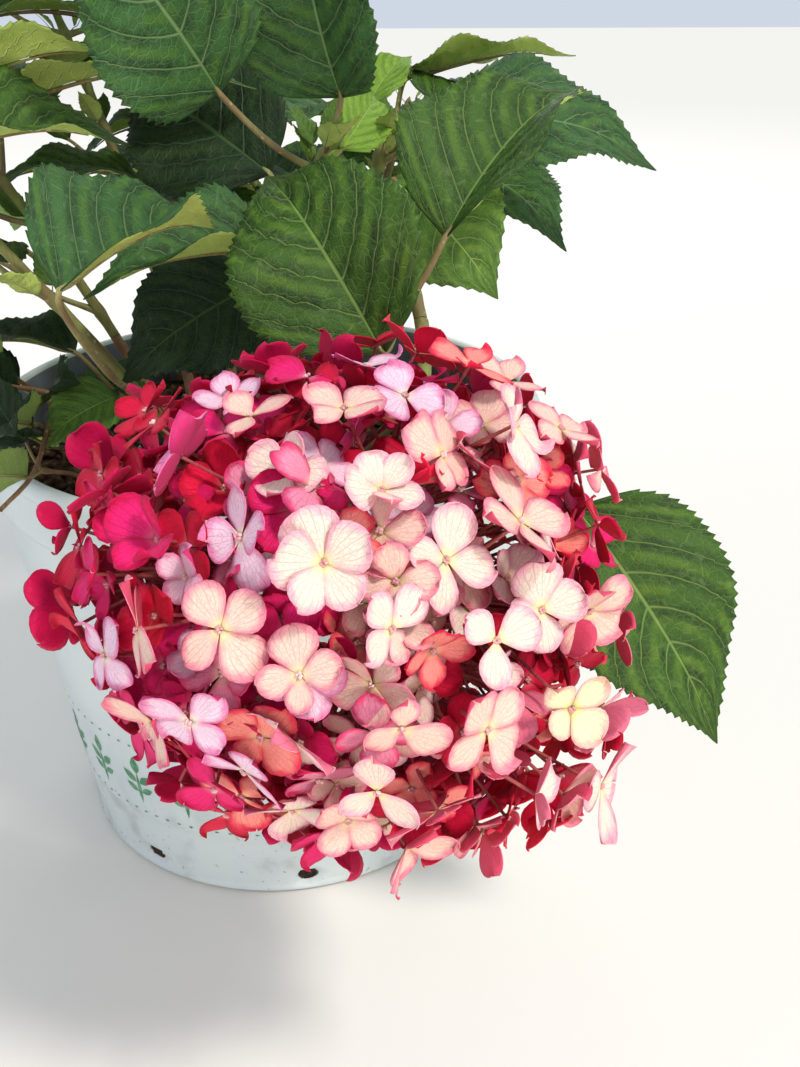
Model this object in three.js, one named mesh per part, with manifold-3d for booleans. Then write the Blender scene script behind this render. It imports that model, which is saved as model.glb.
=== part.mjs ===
// A smooth hydrangea in a plastic nursery pot. Slender canes rise in a clump from the potting mix and carry
// pairs of large toothed leaves, and one heavy round flower head bends its cane forward over the rim.
// Millimetres, +Z up, origin at the centre of the pot's flat underside. The large head hangs towards -Y.
import * as THREE from "three";
import { mergeVertices } from "three/addons/utils/BufferGeometryUtils.js";
import Module from "manifold-3d";

const wasm = await Module();
wasm.setup();
const { Manifold, Mesh: SolidMesh } = wasm;

// Pot
const POT_HEIGHT = 183;
const RIM_RADIUS = 110;
const FOOT_RADIUS = 87;
const WALL = 2.6;
const FLOOR = 4;
const BAND_HEIGHT = 25; // the stiff band below the rim
const BAND_STEP = 3.2; // how far the band stands out from the wall
const LIP = 1.6; // the rounding along the rim and the foot
const POT_SEGMENTS = 44;

// Potting mix
const MIX_LEVEL = 158;
const MIX_GAP = 0.4; // between the mix and the pot, and below each cane

// Canes
const FOOT_FLARE = 1.7; // how much thicker a cane is where it leaves the mix
const FLARE_HEIGHT = 14;
const CANE_RADIUS = 2.6;
const TWIG_RADIUS = 2.2;
const TIP_RADIUS = 1.6;
const HEAD_STALK_RADIUS = 1.9; // where it leaves its twig
const HEAD_STALK_LEAD = 6; // how far it runs on in line with its twig
const STEM_SIDES = 6;
const STEM_STEPS = 7;
const TWIG_SIDES = 5;
const TWIG_STEPS = 6;
const HEAD_STALK_STEPS = 5;
const JOINT_GAP = 0.3; // between a cane, its leafy twig and its flower head

// Leaves
const BLADE_THICKNESS = 1.4;
const PETIOLE_RADIUS = 1;
const PETIOLE_THINNING = 0.8; // how thick a petiole is at its blade, as a share of its foot
const PETIOLE_SAG = 0.07; // how far a petiole hangs below the straight line, as a share of its length
const LEAF_CLEARANCE = 0.5; // least distance to anything that a leaf isn't joined to
// Half of the blade's width, as a share of the whole, at each share of its length
const BLADE_STATIONS = [
  [0.1, 0.36],
  [0.34, 0.5],
  [0.7, 0.3],
];

// Leaves by rule stand in opposite pairs, each pair turned from the last. They vary within these ranges.
const PAIR_TURN = 90;
const CANE_TURN = 37; // from one cane's first pair to the next cane's
const SWAY = 30; // how far a leaf strays from that, in degrees, and how much further with each try
const SWAY_STEP = 40;
const FIRST_PAIR = 0.08; // shares of the twig
const LAST_PAIR = 0.97;
const LAST_PAIR_LIFT = 0.25;
const PETIOLE_RISE = 0.25; // the least slope of a petiole, and how much steeper it may be
const PETIOLE_RISE_SPREAD = 0.5;
const PETIOLE_LENGTHS = [20, 36];
const BLADE_LENGTHS = [74, 96];
const BLADE_SLOPES = [-0.42, 0.2];
const BLADE_SWAY = 0.6; // in radians
const BLADE_WIDTHS = [0.62, 0.74]; // shares of the length
const BLADE_FOLDS = [6, 20];
const BLADE_CURLS = [0.05, 0.13];
const BLADE_FACING = 0.3; // how far a blade's upper side leans outwards
const LEAF_TRIES = 8;
const LEAF_SHRINK = 0.06; // how much smaller a leaf is with each further try

// Florets
const FLORET_THICKNESS = 1.1;
const PEDICEL_RADIUS = 0.5;
const BRANCH_RADIUS = 1.3;
const ARM_RADIUS = 1.8;
const STALK_THINNING = 0.8; // how thick a stalk is at its end, as a share of its foot
const NOTCH = 0.45; // depth of the gap between two sepals, as a share of the floret's radius
const SEPAL_HALF_ANGLE = 24; // degrees from a sepal's middle to its shoulders
const SEPAL_LIFT = 0.08; // how far the shoulders rise, as a share of the floret's radius
const FLORET_SIZES = [0.84, 1.12]; // shares of the head's own floret size
const FLORET_INSET = 0.2; // how far florets stay inside the head's radius, as a share of their own
const FLORET_DEPTHS = 0.1; // how much deeper they may sit, as a share of the head's radius
const FLORET_LEAN = 1.1;
const FLORET_TRIES = 8;
const FLORET_SHRINK = 0.04; // how much smaller, and how much deeper, a floret is with each further try
const FLORET_SINK = 0.02;
const FLORET_CLEARANCE = 0.3;

const COLOURS = {
  pot: 0xdfe3e6,
  mix: 0x2e241d,
  cane: 0x8a6a48,
  leaf: 0x2f5a2c,
  bloom: 0xe2577f,
};

// Each cane's name, its foot where it leaves the mix, its knee on the way, the top of its twig, the share of
// its length below the first leaves, and how many pairs of leaves grow on it by rule besides FRONT_LEAVES
const CANES = [
  ["centre", [-4, -22], [8, -34, 225], [27, -46, 286], 0.5, 0],
  ["front_left", [-26, -26], [-42, -64, 214], [-98, -84, 298], 0.2, 3],
  ["front_right", [30, -24], [64, -56, 203], [92, -84, 199], 0.6, 0],
  ["right", [20, 6], [38, 0, 225], [47, -6, 280], 0.6, 2],
  ["left", [-34, 2], [-72, 0, 236], [-124, -10, 322], 0.3, 7],
  ["back_right", [22, 30], [42, 54, 230], [60, 82, 284], 0.32, 6],
  ["back", [-8, 38], [-8, 84, 250], [-12, 116, 322], 0.3, 6],
  ["back_left", [-30, 26], [-56, 56, 250], [-94, 80, 352], 0.28, 8],
  ["tall", [-14, 16], [-22, 38, 270], [-34, 36, 384], 0.34, 8],
].map(([name, foot, knee, top, bare, pairs]) => ({ name, foot, knee, top, bare, pairs }));

// The cane that carries the large head, from the mix to where the head branches, and the stretches of it
const FLOWER_CANE = [
  [12, -16, MIX_LEVEL + MIX_GAP],
  [16, -36, 214],
  [26, -62, 250],
  [41, -84, 262],
  [54, -98, 254],
  [57, -118, 236],
  [50, -142, 216],
  [40, -164, 200],
];
const FLOWER_BARE = 0.3;
const FLOWER_LEAFY = 0.68;
const FLOWER_RADIUS = 2.8;

// The leaves that face the front: the cane, the share of its twig where the petiole leaves it, the blade's
// base, tip and width, roughly where its upper side looks, how far its halves lift in degrees, and how far
// its middle bows up as a share of its length
const FRONT_LEAVES = [
  ["flower", 0.88, [45, -114, 240], [8, -62, 284], 62, [0.1, -1, 0.4], 12, 0.18],
  ["flower", 0.9, [64, -97, 271], [112, -46, 309], 62, [-0.56, -0.64, 0.53], 36, 0.08],
  ["front_right", 0.95, [107, -110, 186], [154, -146, 117], 62, [0.3, -1, 0.5], 10, 0.08],
  ["centre", 0.9, [-4, -62, 307], [-47, -90, 372], 58, [0.2, -1, 0.5], 12, 0.08],
  ["centre", 0.96, [33, -52, 304], [20, -66, 376], 56, [-0.46, -0.88, 0], 28, 0.06],
  ["centre", 0.56, [15, -62, 258], [-47, -92, 254], 46, [0, -0.3, 1], 32, 0.08],
  ["centre", 0.5, [7, -20, 275], [-49, 36, 298], 60, [-0.2, -0.7, 0.6], 10, 0.1],
  ["centre", 0.36, [50, -36, 276], [86, -56, 240], 54, [0.3, -0.9, 0.3], 8, 0.1],
  ["centre", 0.12, [4, -50, 244], [-44, -70, 216], 52, [-0.3, -0.8, 0.7], 8, 0.08],
  ["centre", 0.97, [33, -26, 284], [46, 8, 298], 22, [0.4, -0.8, 0.6], 20, 0.1],
  ["right", 0.9, [62, -20, 291], [143, -30, 280], 54, [0, -0.5, 0.9], 8, 0.12],
  ["right", 0.94, [58, 40, 300], [122, 34, 311], 40, [0, 0.3, 1], 10, 0.04],
  ["right", 0.98, [42, 22, 291], [60, 46, 308], 22, [-0.3, -0.8, 0.5], 26, 0.1],
  ["front_left", 0.2, [-41, -144, 269], [-4, -94, 276], 58, [0, -0.27, 0.96], 34, 0.08],
  ["front_left", 0.85, [-93, -92, 291], [-31, -76, 297], 50, [0.1, -0.3, 1], 24, 0.1],
  ["front_left", 0.95, [-100, -64, 303], [-36, -50, 321], 50, [0.1, 0.1, 1], 20, 0.06],
  ["front_left", 0.06, [-46, -62, 208], [-72, -76, 195], 26, [-0.1, -0.6, 0.8], 10, 0.1],
].map(([cane, at, base, tip, width, faces, fold, curl]) => {
  return { cane, at, base, tip, width, faces, fold, curl };
});

// Where leaves may grow by rule: inside an egg round the clump, clear of the space round the large head, and
// on the thin right-hand side only in one layer.
const CROWN_CENTRE = new THREE.Vector3(-34, 24, 276);
const CROWN_RADII = new THREE.Vector3(176, 160, 146);
const OPEN_FRONT = { x: -70, y: -50 };
const THIN_SIDE = { x: 16, foot: 228, top: 303 };
const LOWEST_LEAF = POT_HEIGHT + 12;

// Flower heads. axis is the way a head looks, open is how far round from that its florets reach, in degrees,
// hub is how far behind the middle its stalks part, as a share of the radius, and size is a floret's radius.
const HEADS = [
  {
    name: "front",
    cane: "flower",
    centre: [32, -181, 196],
    radius: 75,
    axis: [0, -1, -0.12],
    open: 132,
    hub: 0.2,
    florets: 122,
    size: 12.6,
  },
  {
    name: "back",
    cane: "back",
    centre: [-14, 136, 352],
    radius: 40,
    axis: [0, 0.6, 0.8],
    open: 112,
    hub: 0.3,
    florets: 34,
    size: 11,
  },
];
const ARM_REACH = 0.3; // where a head's arms and branches end, as shares of the way from hub to outside
const BRANCH_REACH = 0.55;
const TOP_ROOT = 0.97; // the first stalk's root on the stalk below it
const ROOT_STEP = 0.17; // from one stalk's root to the next, as a share of the stalk below
const FLORETS_PER_BRANCH = 5;
const BRANCHES_PER_ARM = 4;

// A generator of numbers from 0 to 1 that gives the same row for the same seed
function seededRandom(seed) {
  let state = seed >>> 0;
  return () => {
    state = (state + 0x6d2b79f5) >>> 0;
    let t = Math.imul(state ^ (state >>> 15), state | 1);
    t = (t + Math.imul(t ^ (t >>> 7), t | 61)) ^ t;
    return ((t ^ (t >>> 14)) >>> 0) / 4294967296;
  };
}

const UP = new THREE.Vector3(0, 0, 1);
const GOLDEN_ANGLE = Math.PI * (3 - Math.sqrt(5));
const vector = (list) => new THREE.Vector3(...list);
const radians = THREE.MathUtils.degToRad;
const lerp = THREE.MathUtils.lerp;

// Solids from geometry, and geometry from solids

function solidOf(geometry) {
  const bare = geometry.index ? geometry.toNonIndexed() : geometry.clone();
  Object.keys(bare.attributes)
    .filter((name) => name !== "position")
    .forEach((name) => bare.deleteAttribute(name));
  const merged = mergeVertices(bare, 1e-3);
  return new Manifold(
    new SolidMesh({
      numProp: 3,
      vertProperties: merged.attributes.position.array,
      triVerts: new Uint32Array(merged.index.array),
    }),
  );
}

function geometryOf(solid) {
  const mesh = solid.getMesh();
  const geometry = new THREE.BufferGeometry();
  geometry.setAttribute("position", new THREE.BufferAttribute(mesh.vertProperties, 3));
  geometry.setIndex(new THREE.BufferAttribute(mesh.triVerts, 1));
  return geometry;
}

function polyhedron(points, triangles) {
  const geometry = new THREE.BufferGeometry().setFromPoints(points);
  geometry.setIndex(triangles.flat());
  return solidOf(geometry);
}

// Joins solids into one body. Shells sealed inside it are filled and loose scraps dropped.
function fused(solids) {
  const bodies = Manifold.union(solids).decompose();
  return bodies.reduce((largest, body) => (body.volume() > largest.volume() ? body : largest));
}

// A closed tapering limb: a lathe turned along its length, then bent onto a curve. Where a limb stands on the
// mix its first ring is pressed level.
function limb(curve, radiusAt, sides, steps, level = false) {
  const profile = [new THREE.Vector2(0, 0)];
  for (let i = 0; i <= steps; i++) profile.push(new THREE.Vector2(radiusAt(i / steps), i));
  profile.push(new THREE.Vector2(0, steps));
  const geometry = new THREE.LatheGeometry(profile, sides);
  const frames = curve.computeFrenetFrames(steps, false);
  const position = geometry.attributes.position;
  for (let i = 0; i < position.count; i++) {
    const station = Math.round(position.getY(i));
    const point = curve
      .getPointAt(station / steps)
      .addScaledVector(frames.normals[station], position.getX(i))
      .addScaledVector(frames.binormals[station], position.getZ(i));
    const z = level && station === 0 ? curve.points[0].z : point.z;
    position.setXYZ(i, point.x, point.y, z);
  }
  const made = solidOf(geometry);
  return made.volume() > 0 ? made : solidOf(turnedInsideOut(geometry));
}

function turnedInsideOut(geometry) {
  const index = geometry.index.array;
  for (let i = 0; i < index.length; i += 3) [index[i], index[i + 1]] = [index[i + 1], index[i]];
  return geometry;
}

// Part of a curve, between two shares of its length
function stretch(curve, from, to, points = 33) {
  const along = Array.from({ length: points }, (_, i) =>
    curve.getPointAt(lerp(from, to, i / (points - 1))),
  );
  return new THREE.CatmullRomCurve3(along, false, "centripetal");
}

// Pot and potting mix

const bandFoot = POT_HEIGHT - BAND_HEIGHT;
const wallRadius = (z) => lerp(FOOT_RADIUS, RIM_RADIUS - BAND_STEP, z / bandFoot);
const innerFoot = wallRadius(FLOOR) - WALL;
const innerTop = RIM_RADIUS - WALL - BAND_STEP;

function turned(outline) {
  const points = outline.map(([radius, z]) => new THREE.Vector2(radius, z));
  return new THREE.LatheGeometry(points, POT_SEGMENTS).rotateX(Math.PI / 2);
}

function potGeometry() {
  return turned([
    [0, 0],
    [FOOT_RADIUS - LIP, 0],
    [FOOT_RADIUS, LIP],
    [wallRadius(bandFoot), bandFoot],
    [wallRadius(bandFoot) + BAND_STEP / 2, bandFoot + 1],
    [RIM_RADIUS - LIP / 4, POT_HEIGHT - LIP],
    [RIM_RADIUS - LIP, POT_HEIGHT],
    [RIM_RADIUS - WALL - LIP, POT_HEIGHT],
    [innerTop, POT_HEIGHT - LIP],
    [innerFoot, FLOOR],
    [0, FLOOR],
  ]);
}

function mixGeometry() {
  const inner = (z) => lerp(innerFoot, innerTop, (z - FLOOR) / (POT_HEIGHT - LIP - FLOOR)) - MIX_GAP;
  const foot = FLOOR + MIX_GAP;
  return turned([
    [0, foot],
    [inner(foot), foot],
    [inner(MIX_LEVEL), MIX_LEVEL],
    [0, MIX_LEVEL],
  ]);
}

// Canes

function caneCurve({ foot, knee, top }) {
  const start = new THREE.Vector3(foot[0], foot[1], MIX_LEVEL + MIX_GAP);
  return new THREE.CatmullRomCurve3([start, vector(knee), vector(top)], false, "centripetal");
}

function caneRadius(length, radius) {
  return (share) => {
    const flare = Math.max(0, 1 - (share * length) / FLARE_HEIGHT);
    return radius * (1 + (FOOT_FLARE - 1) * flare ** 2) - (radius - TWIG_RADIUS) * share;
  };
}

// Leaves

// The lines that a blade is built on: its length, its width and the way its upper side faces
function bladeFrame(leaf) {
  const base = vector(leaf.base);
  const along = vector(leaf.tip).sub(base);
  const length = along.length();
  along.normalize();
  const up = vector(leaf.faces);
  up.addScaledVector(along, -up.dot(along)).normalize();
  const across = new THREE.Vector3().crossVectors(along, up);
  return { base, along, up, across, length };
}

// A point of the blade: t runs from its base to its tip, s from -1 to 1 across it. The midrib bows up between
// its ends, and both halves lift from it.
function bladePoint(leaf, frame, t, s, halfWidth) {
  const bow = 4 * leaf.curl * t * (1 - t) * frame.length;
  const fold = radians(leaf.fold);
  const reach = s * halfWidth * leaf.width;
  return frame.base
    .clone()
    .addScaledVector(frame.along, t * frame.length)
    .addScaledVector(frame.up, bow + Math.abs(reach) * Math.sin(fold))
    .addScaledVector(frame.across, reach * Math.cos(fold));
}

// A closed body through rings of four points, with a flat foot and either a flat end or a point
function loft(rings, point = null) {
  const points = [...rings.flat(), ...(point ? [point] : [])];
  const last = (rings.length - 1) * 4;
  const triangles = [
    [0, 2, 1],
    [0, 3, 2],
  ];
  for (let k = 0; k < 4; k++) {
    const next = (k + 1) % 4;
    for (let ring = 0; ring < last; ring += 4) {
      triangles.push([ring + k, ring + next, ring + 4 + next], [ring + k, ring + 4 + next, ring + 4 + k]);
    }
    if (point) triangles.push([last + k, last + next, last + 4]);
  }
  if (!point) triangles.push([last, last + 1, last + 2], [last, last + 2, last + 3]);
  return polyhedron(points, triangles);
}

// Four points round a place on a stalk: to one side, above, to the other side and below
function stalkRing(place, direction, frame, radius) {
  const side = frame.across.clone().addScaledVector(direction, -frame.across.dot(direction)).normalize();
  const above = new THREE.Vector3().crossVectors(side, direction);
  return [
    place.clone().addScaledVector(side, -radius),
    place.clone().addScaledVector(above, radius),
    place.clone().addScaledVector(side, radius),
    place.clone().addScaledVector(above, -radius),
  ];
}

function petioleRings(leaf, root) {
  const frame = bladeFrame(leaf);
  const reach = frame.base.clone().sub(root);
  const direction = reach.clone().normalize();
  const knee = root.clone().addScaledVector(reach, 0.5);
  knee.z -= reach.length() * PETIOLE_SAG;
  const turned = direction.clone().add(frame.along).normalize();
  return [
    stalkRing(root, direction, frame, PETIOLE_RADIUS),
    stalkRing(knee, direction, frame, PETIOLE_RADIUS),
    stalkRing(frame.base, turned, frame, PETIOLE_RADIUS * PETIOLE_THINNING),
  ];
}

function bladeRings(leaf) {
  const frame = bladeFrame(leaf);
  return BLADE_STATIONS.map(([t, half]) => {
    const middle = bladePoint(leaf, frame, t, 0, half);
    return [
      bladePoint(leaf, frame, t, -1, half),
      middle.clone().addScaledVector(frame.up, BLADE_THICKNESS / 2),
      bladePoint(leaf, frame, t, 1, half),
      middle.clone().addScaledVector(frame.up, -BLADE_THICKNESS / 2),
    ];
  });
}

// A leaf on its petiole as one body, and its petiole and blade alone
function leafBodies(leaf, root) {
  const frame = bladeFrame(leaf);
  const tip = bladePoint(leaf, frame, 1, 0, 0);
  const stalk = petioleRings(leaf, root);
  const blade = bladeRings(leaf);
  return { petiole: loft(stalk), blade: loft(blade, tip), whole: loft([...stalk, ...blade], tip) };
}

// The leaf that the rule gives for a place on a twig. Each further try is smaller and turned further.
function ruledLeaf(caneIndex, twig, pair, side, attempt, pairs) {
  const random = seededRandom(caneIndex * 4096 + pair * 64 + side * 16 + attempt);
  const share = lerp(FIRST_PAIR, LAST_PAIR, pair / (pairs - 1));
  const root = twig.getPointAt(share);
  const sway = (random() - 0.5) * (SWAY + attempt * SWAY_STEP);
  const turn = radians((pair % 2) * PAIR_TURN + side * 180 + caneIndex * CANE_TURN + sway);
  const outward = new THREE.Vector3(Math.cos(turn), Math.sin(turn), 0);
  const lift = pair === pairs - 1 ? LAST_PAIR_LIFT : 0;
  const rise = PETIOLE_RISE + PETIOLE_RISE_SPREAD * random() + lift;
  const stalk = lerp(...PETIOLE_LENGTHS, random());
  const base = root.clone().addScaledVector(outward, stalk);
  base.z += stalk * rise;
  const length = lerp(...BLADE_LENGTHS, random()) * (1 - LEAF_SHRINK * attempt);
  const slope = lerp(...BLADE_SLOPES, random());
  const heading = outward.clone().applyAxisAngle(UP, (random() - 0.5) * BLADE_SWAY);
  heading.z = slope;
  heading.normalize();
  const tip = base.clone().addScaledVector(heading, length);
  return {
    at: share,
    base: base.toArray(),
    tip: tip.toArray(),
    width: length * lerp(...BLADE_WIDTHS, random()),
    faces: [outward.x * BLADE_FACING, outward.y * BLADE_FACING, 1],
    fold: lerp(...BLADE_FOLDS, random()),
    curl: lerp(...BLADE_CURLS, random()),
  };
}

function insideCrown(leaf) {
  const frame = bladeFrame(leaf);
  return [0, 0.5, 1].every((t) => {
    const point = bladePoint(leaf, frame, t, 0, 0);
    const share = point.clone().sub(CROWN_CENTRE).divide(CROWN_RADII).length();
    const inOpenFront = point.y < OPEN_FRONT.y && point.x > OPEN_FRONT.x;
    const inLayer = point.z > THIN_SIDE.foot && point.z < THIN_SIDE.top;
    return share < 1 && point.z > LOWEST_LEAF && !inOpenFront && (point.x < THIN_SIDE.x || inLayer);
  });
}

// Everything placed so far, so that a leaf that would touch it is left out
const placed = [];

function near(a, b, gap) {
  const [p, q] = [a.boundingBox(), b.boundingBox()];
  return [0, 1, 2].every((k) => p.min[k] - gap < q.max[k] && q.min[k] - gap < p.max[k]);
}

function touched(solid, except) {
  return placed.find(
    (other) =>
      !except(other) &&
      near(solid, other.solid, LEAF_CLEARANCE) &&
      solid.minGap(other.solid, LEAF_CLEARANCE * 2) <= LEAF_CLEARANCE,
  );
}

function growLeaf(leaf, twig, mass) {
  const { petiole, blade, whole } = leafBodies(leaf, twig.getPointAt(leaf.at));
  const blocker =
    touched(blade, () => false) ??
    touched(petiole, (other) => other.mass === mass && other.kind !== "blade");
  if (blocker) return { blocker };
  placed.push({ mass, kind: "petiole", solid: petiole }, { mass, kind: "blade", solid: blade });
  return { solid: whole };
}

function frontLeaves(name, twig, mass) {
  return FRONT_LEAVES.filter((leaf) => leaf.cane === name).map((leaf) => {
    const { blocker, solid } = growLeaf(leaf, twig, mass);
    if (blocker) throw new Error(`leaf at ${leaf.base} on cane ${name} touches ${blocker.mass}`);
    return solid;
  });
}

function ruledLeaves(caneIndex, pairs, twig, mass) {
  const solids = [];
  for (let pair = 0; pair < pairs; pair++) {
    for (const side of [0, 1]) {
      for (let attempt = 0; attempt < LEAF_TRIES; attempt++) {
        const leaf = ruledLeaf(caneIndex, twig, pair, side, attempt, pairs);
        const { solid } = insideCrown(leaf) ? growLeaf(leaf, twig, mass) : {};
        if (solid) {
          solids.push(solid);
          break;
        }
      }
    }
  }
  return solids;
}

// Flower heads

// Directions spread evenly over the open part of a ball, along a golden spiral
function spreadWays(head, count) {
  const turn = new THREE.Quaternion().setFromUnitVectors(UP, vector(head.axis).normalize());
  const lowest = Math.cos(radians(head.open));
  return Array.from({ length: count }, (_, i) => {
    const z = lerp(1, lowest, (i + 0.5) / count);
    const ring = Math.sqrt(1 - z * z);
    const angle = i * GOLDEN_ANGLE;
    return new THREE.Vector3(ring * Math.cos(angle), ring * Math.sin(angle), z).applyQuaternion(turn);
  });
}

// A floret's centre, the way it looks and its size. Each further try sits deeper and leans another way.
function floretSpot(head, headIndex, way, i, attempt) {
  const random = seededRandom(headIndex * 65536 + i * 8 + attempt);
  const lean = new THREE.Vector3(random() - 0.5, random() - 0.5, random() - 0.5);
  const inset = (head.size * FLORET_INSET) / head.radius;
  const depth = 1 - inset - FLORET_DEPTHS * random() - FLORET_SINK * attempt;
  return {
    centre: vector(head.centre).addScaledVector(way, head.radius * depth),
    looks: way.clone().addScaledVector(lean, FLORET_LEAN).normalize(),
    spin: random() * Math.PI,
    size: head.size * lerp(...FLORET_SIZES, random()) * (1 - FLORET_SHRINK * attempt),
  };
}

// Four broad sepals as one twelve-cornered blade, thickest in the middle, on a three-sided pedicel
function floret({ centre, looks, spin, size }, root) {
  const turn = new THREE.Quaternion().setFromUnitVectors(UP, looks);
  const around = (middle, angle, radius, height) =>
    new THREE.Vector3(radius * Math.cos(angle), radius * Math.sin(angle), height)
      .applyQuaternion(turn)
      .add(middle);
  const half = radians(SEPAL_HALF_ANGLE);
  const outline = [0, 1, 2, 3].flatMap((k) => {
    const middle = spin + (k * Math.PI) / 2;
    return [
      around(centre, middle - half, size, size * SEPAL_LIFT),
      around(centre, middle + half, size, size * SEPAL_LIFT),
      around(centre, middle + Math.PI / 4, size * (1 - NOTCH), 0),
    ];
  });
  const ring = (middle, radius, height) =>
    [0, 1, 2].map((k) => around(middle, spin - half + ((k + 0.5) * 2 * Math.PI) / 3, radius, height));
  const points = [
    ...outline,
    around(centre, 0, 0, FLORET_THICKNESS / 2),
    ...ring(centre, PEDICEL_RADIUS * STALK_THINNING, -FLORET_THICKNESS / 2),
    ...ring(root, PEDICEL_RADIUS, 0),
  ];
  const corners = outline.length;
  const neck = corners + 1;
  const foot = neck + 3;
  const under = (i) => neck + Math.floor((i * 3) / corners);
  const triangles = [[foot, foot + 2, foot + 1]];
  for (let i = 0; i < corners; i++) {
    const next = (i + 1) % corners;
    triangles.push([corners, i, next], [under(i), next, i]);
    if (under(i) !== under(next)) triangles.push([under(i), under(next), next]);
  }
  for (let k = 0; k < 3; k++) {
    const next = (k + 1) % 3;
    triangles.push([foot + k, foot + next, neck + next], [foot + k, neck + next, neck + k]);
  }
  return polyhedron(points, triangles);
}

// A straight three-sided stalk that thins towards its end
function stalk(from, to, radius) {
  const turn = new THREE.Quaternion().setFromUnitVectors(UP, to.clone().sub(from).normalize());
  const ring = (centre, size) =>
    [0, 1, 2].map((k) => {
      const angle = (k * 2 * Math.PI) / 3;
      return new THREE.Vector3(size * Math.cos(angle), size * Math.sin(angle), 0)
        .applyQuaternion(turn)
        .add(centre);
    });
  const points = [...ring(from, radius), ...ring(to, radius * STALK_THINNING)];
  const sides = [0, 1, 2].flatMap((k) => {
    const next = (k + 1) % 3;
    return [
      [k, next, next + 3],
      [k, next + 3, k + 3],
    ];
  });
  return polyhedron(points, [[0, 2, 1], [3, 4, 5], ...sides]);
}

function nearest(points, place) {
  const distances = points.map((point) => point.distanceTo(place));
  return distances.indexOf(Math.min(...distances));
}

// Ends for a head's arms or branches, at a share of the way from its hub to its outside
function armEnds(head, hub, count, reach) {
  return spreadWays(head, count).map((way) =>
    hub.clone().lerp(vector(head.centre).addScaledVector(way, head.radius), reach),
  );
}

// Where the next stalk leaves the one below, which already carries some
const rootShare = (carried) => Math.max(TOP_ROOT - ROOT_STEP * carried, ROOT_STEP);

// A head's stalks part at the hub into arms, the arms into branches, and the branches into the pedicels of
// the florets nearest to them. Stalks leave the one below at places of their own.
function flowerHead(head, headIndex) {
  const hub = vector(head.centre).addScaledVector(vector(head.axis).normalize(), -head.radius * head.hub);
  const branchCount = Math.round(head.florets / FLORETS_PER_BRANCH);
  const arms = armEnds(head, hub, Math.round(branchCount / BRANCHES_PER_ARM), ARM_REACH);
  const branches = armEnds(head, hub, branchCount, BRANCH_REACH);
  const onArm = arms.map(() => 0);
  const onBranch = branches.map(() => 0);
  const solids = arms.map((end) => stalk(hub, end, ARM_RADIUS));
  const roots = branches.map((end) => {
    const arm = nearest(arms, end);
    const root = hub.clone().lerp(arms[arm], rootShare(onArm[arm]++));
    solids.push(stalk(root, end, BRANCH_RADIUS));
    return root;
  });
  const standing = [];
  spreadWays(head, head.florets).forEach((way, i) => {
    const branch = nearest(branches, vector(head.centre).addScaledVector(way, head.radius));
    const from = roots[branch].clone().lerp(branches[branch], rootShare(onBranch[branch]++));
    for (let attempt = 0; attempt < FLORET_TRIES; attempt++) {
      const spot = floretSpot(head, headIndex, way, i, attempt);
      const blossom = floret(spot, spot.centre.clone().addScaledVector(spot.looks, -FLORET_THICKNESS));
      const pedicel = stalk(from, spot.centre, PEDICEL_RADIUS);
      if (touched(blossom, (other) => other.kind === "head") || crowded(blossom, pedicel, standing)) continue;
      standing.push({ blossom, pedicel });
      solids.push(floret(spot, from));
      break;
    }
  });
  return { hub, solids };
}

// Whether a floret or its pedicel would run into a floret that stands, or the floret into a pedicel
function crowded(blossom, pedicel, standing) {
  const meets = (a, b) => near(a, b, FLORET_CLEARANCE) && a.minGap(b, 1) < FLORET_CLEARANCE;
  return standing.some(
    (other) =>
      meets(blossom, other.blossom) || meets(blossom, other.pedicel) || meets(pedicel, other.blossom),
  );
}

// The whole plant

const plant = new THREE.Group();

function addNode(name, geometry, colour, roughness) {
  const material = new THREE.MeshStandardMaterial({ color: colour, roughness, metalness: 0 });
  const mesh = new THREE.Mesh(geometry, material);
  mesh.name = name;
  plant.add(mesh);
  return mesh;
}

const pot = addNode("pot", potGeometry(), COLOURS.pot, 0.45);
const mix = addNode("potting_mix", mixGeometry(), COLOURS.mix, 0.95);
placed.push({ mass: "pot", kind: "pot", solid: solidOf(pot.geometry) });
placed.push({ mass: "potting_mix", kind: "pot", solid: solidOf(mix.geometry) });

// Each cane in three stretches: the bare stem, the leafy twig and, on the flower cane, the stalk of the head
const flowerCurve = new THREE.CatmullRomCurve3(FLOWER_CANE.map(vector), false, "centripetal");
const growth = CANES.map((cane, index) => ({
  ...cane,
  index: index + 1,
  curve: caneCurve(cane),
  radius: CANE_RADIUS,
  leafy: 1,
}));
growth.unshift({
  name: "flower",
  index: 0,
  curve: flowerCurve,
  radius: FLOWER_RADIUS,
  bare: FLOWER_BARE,
  leafy: FLOWER_LEAFY,
  pairs: 0,
});

const twigs = growth.map((cane) => {
  const length = cane.curve.getLength();
  const stem = stretch(cane.curve, 0, cane.bare);
  const twig = stretch(cane.curve, cane.bare + JOINT_GAP / length, cane.leafy);
  const stemSolid = limb(stem, caneRadius(length * cane.bare, cane.radius), STEM_SIDES, STEM_STEPS, true);
  const tip = cane.name === "flower" ? TWIG_RADIUS : TIP_RADIUS;
  const twigSolid = limb(twig, (share) => lerp(TWIG_RADIUS, tip, share), TWIG_SIDES, TWIG_STEPS);
  addNode("cane_" + cane.name, geometryOf(stemSolid), COLOURS.cane, 0.8);
  const mass = "leaves_" + cane.name;
  placed.push({ mass: "cane_" + cane.name, kind: "cane", solid: stemSolid });
  placed.push({ mass, kind: "twig", solid: twigSolid });
  return { ...cane, length, twig, twigSolid, mass };
});

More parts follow.
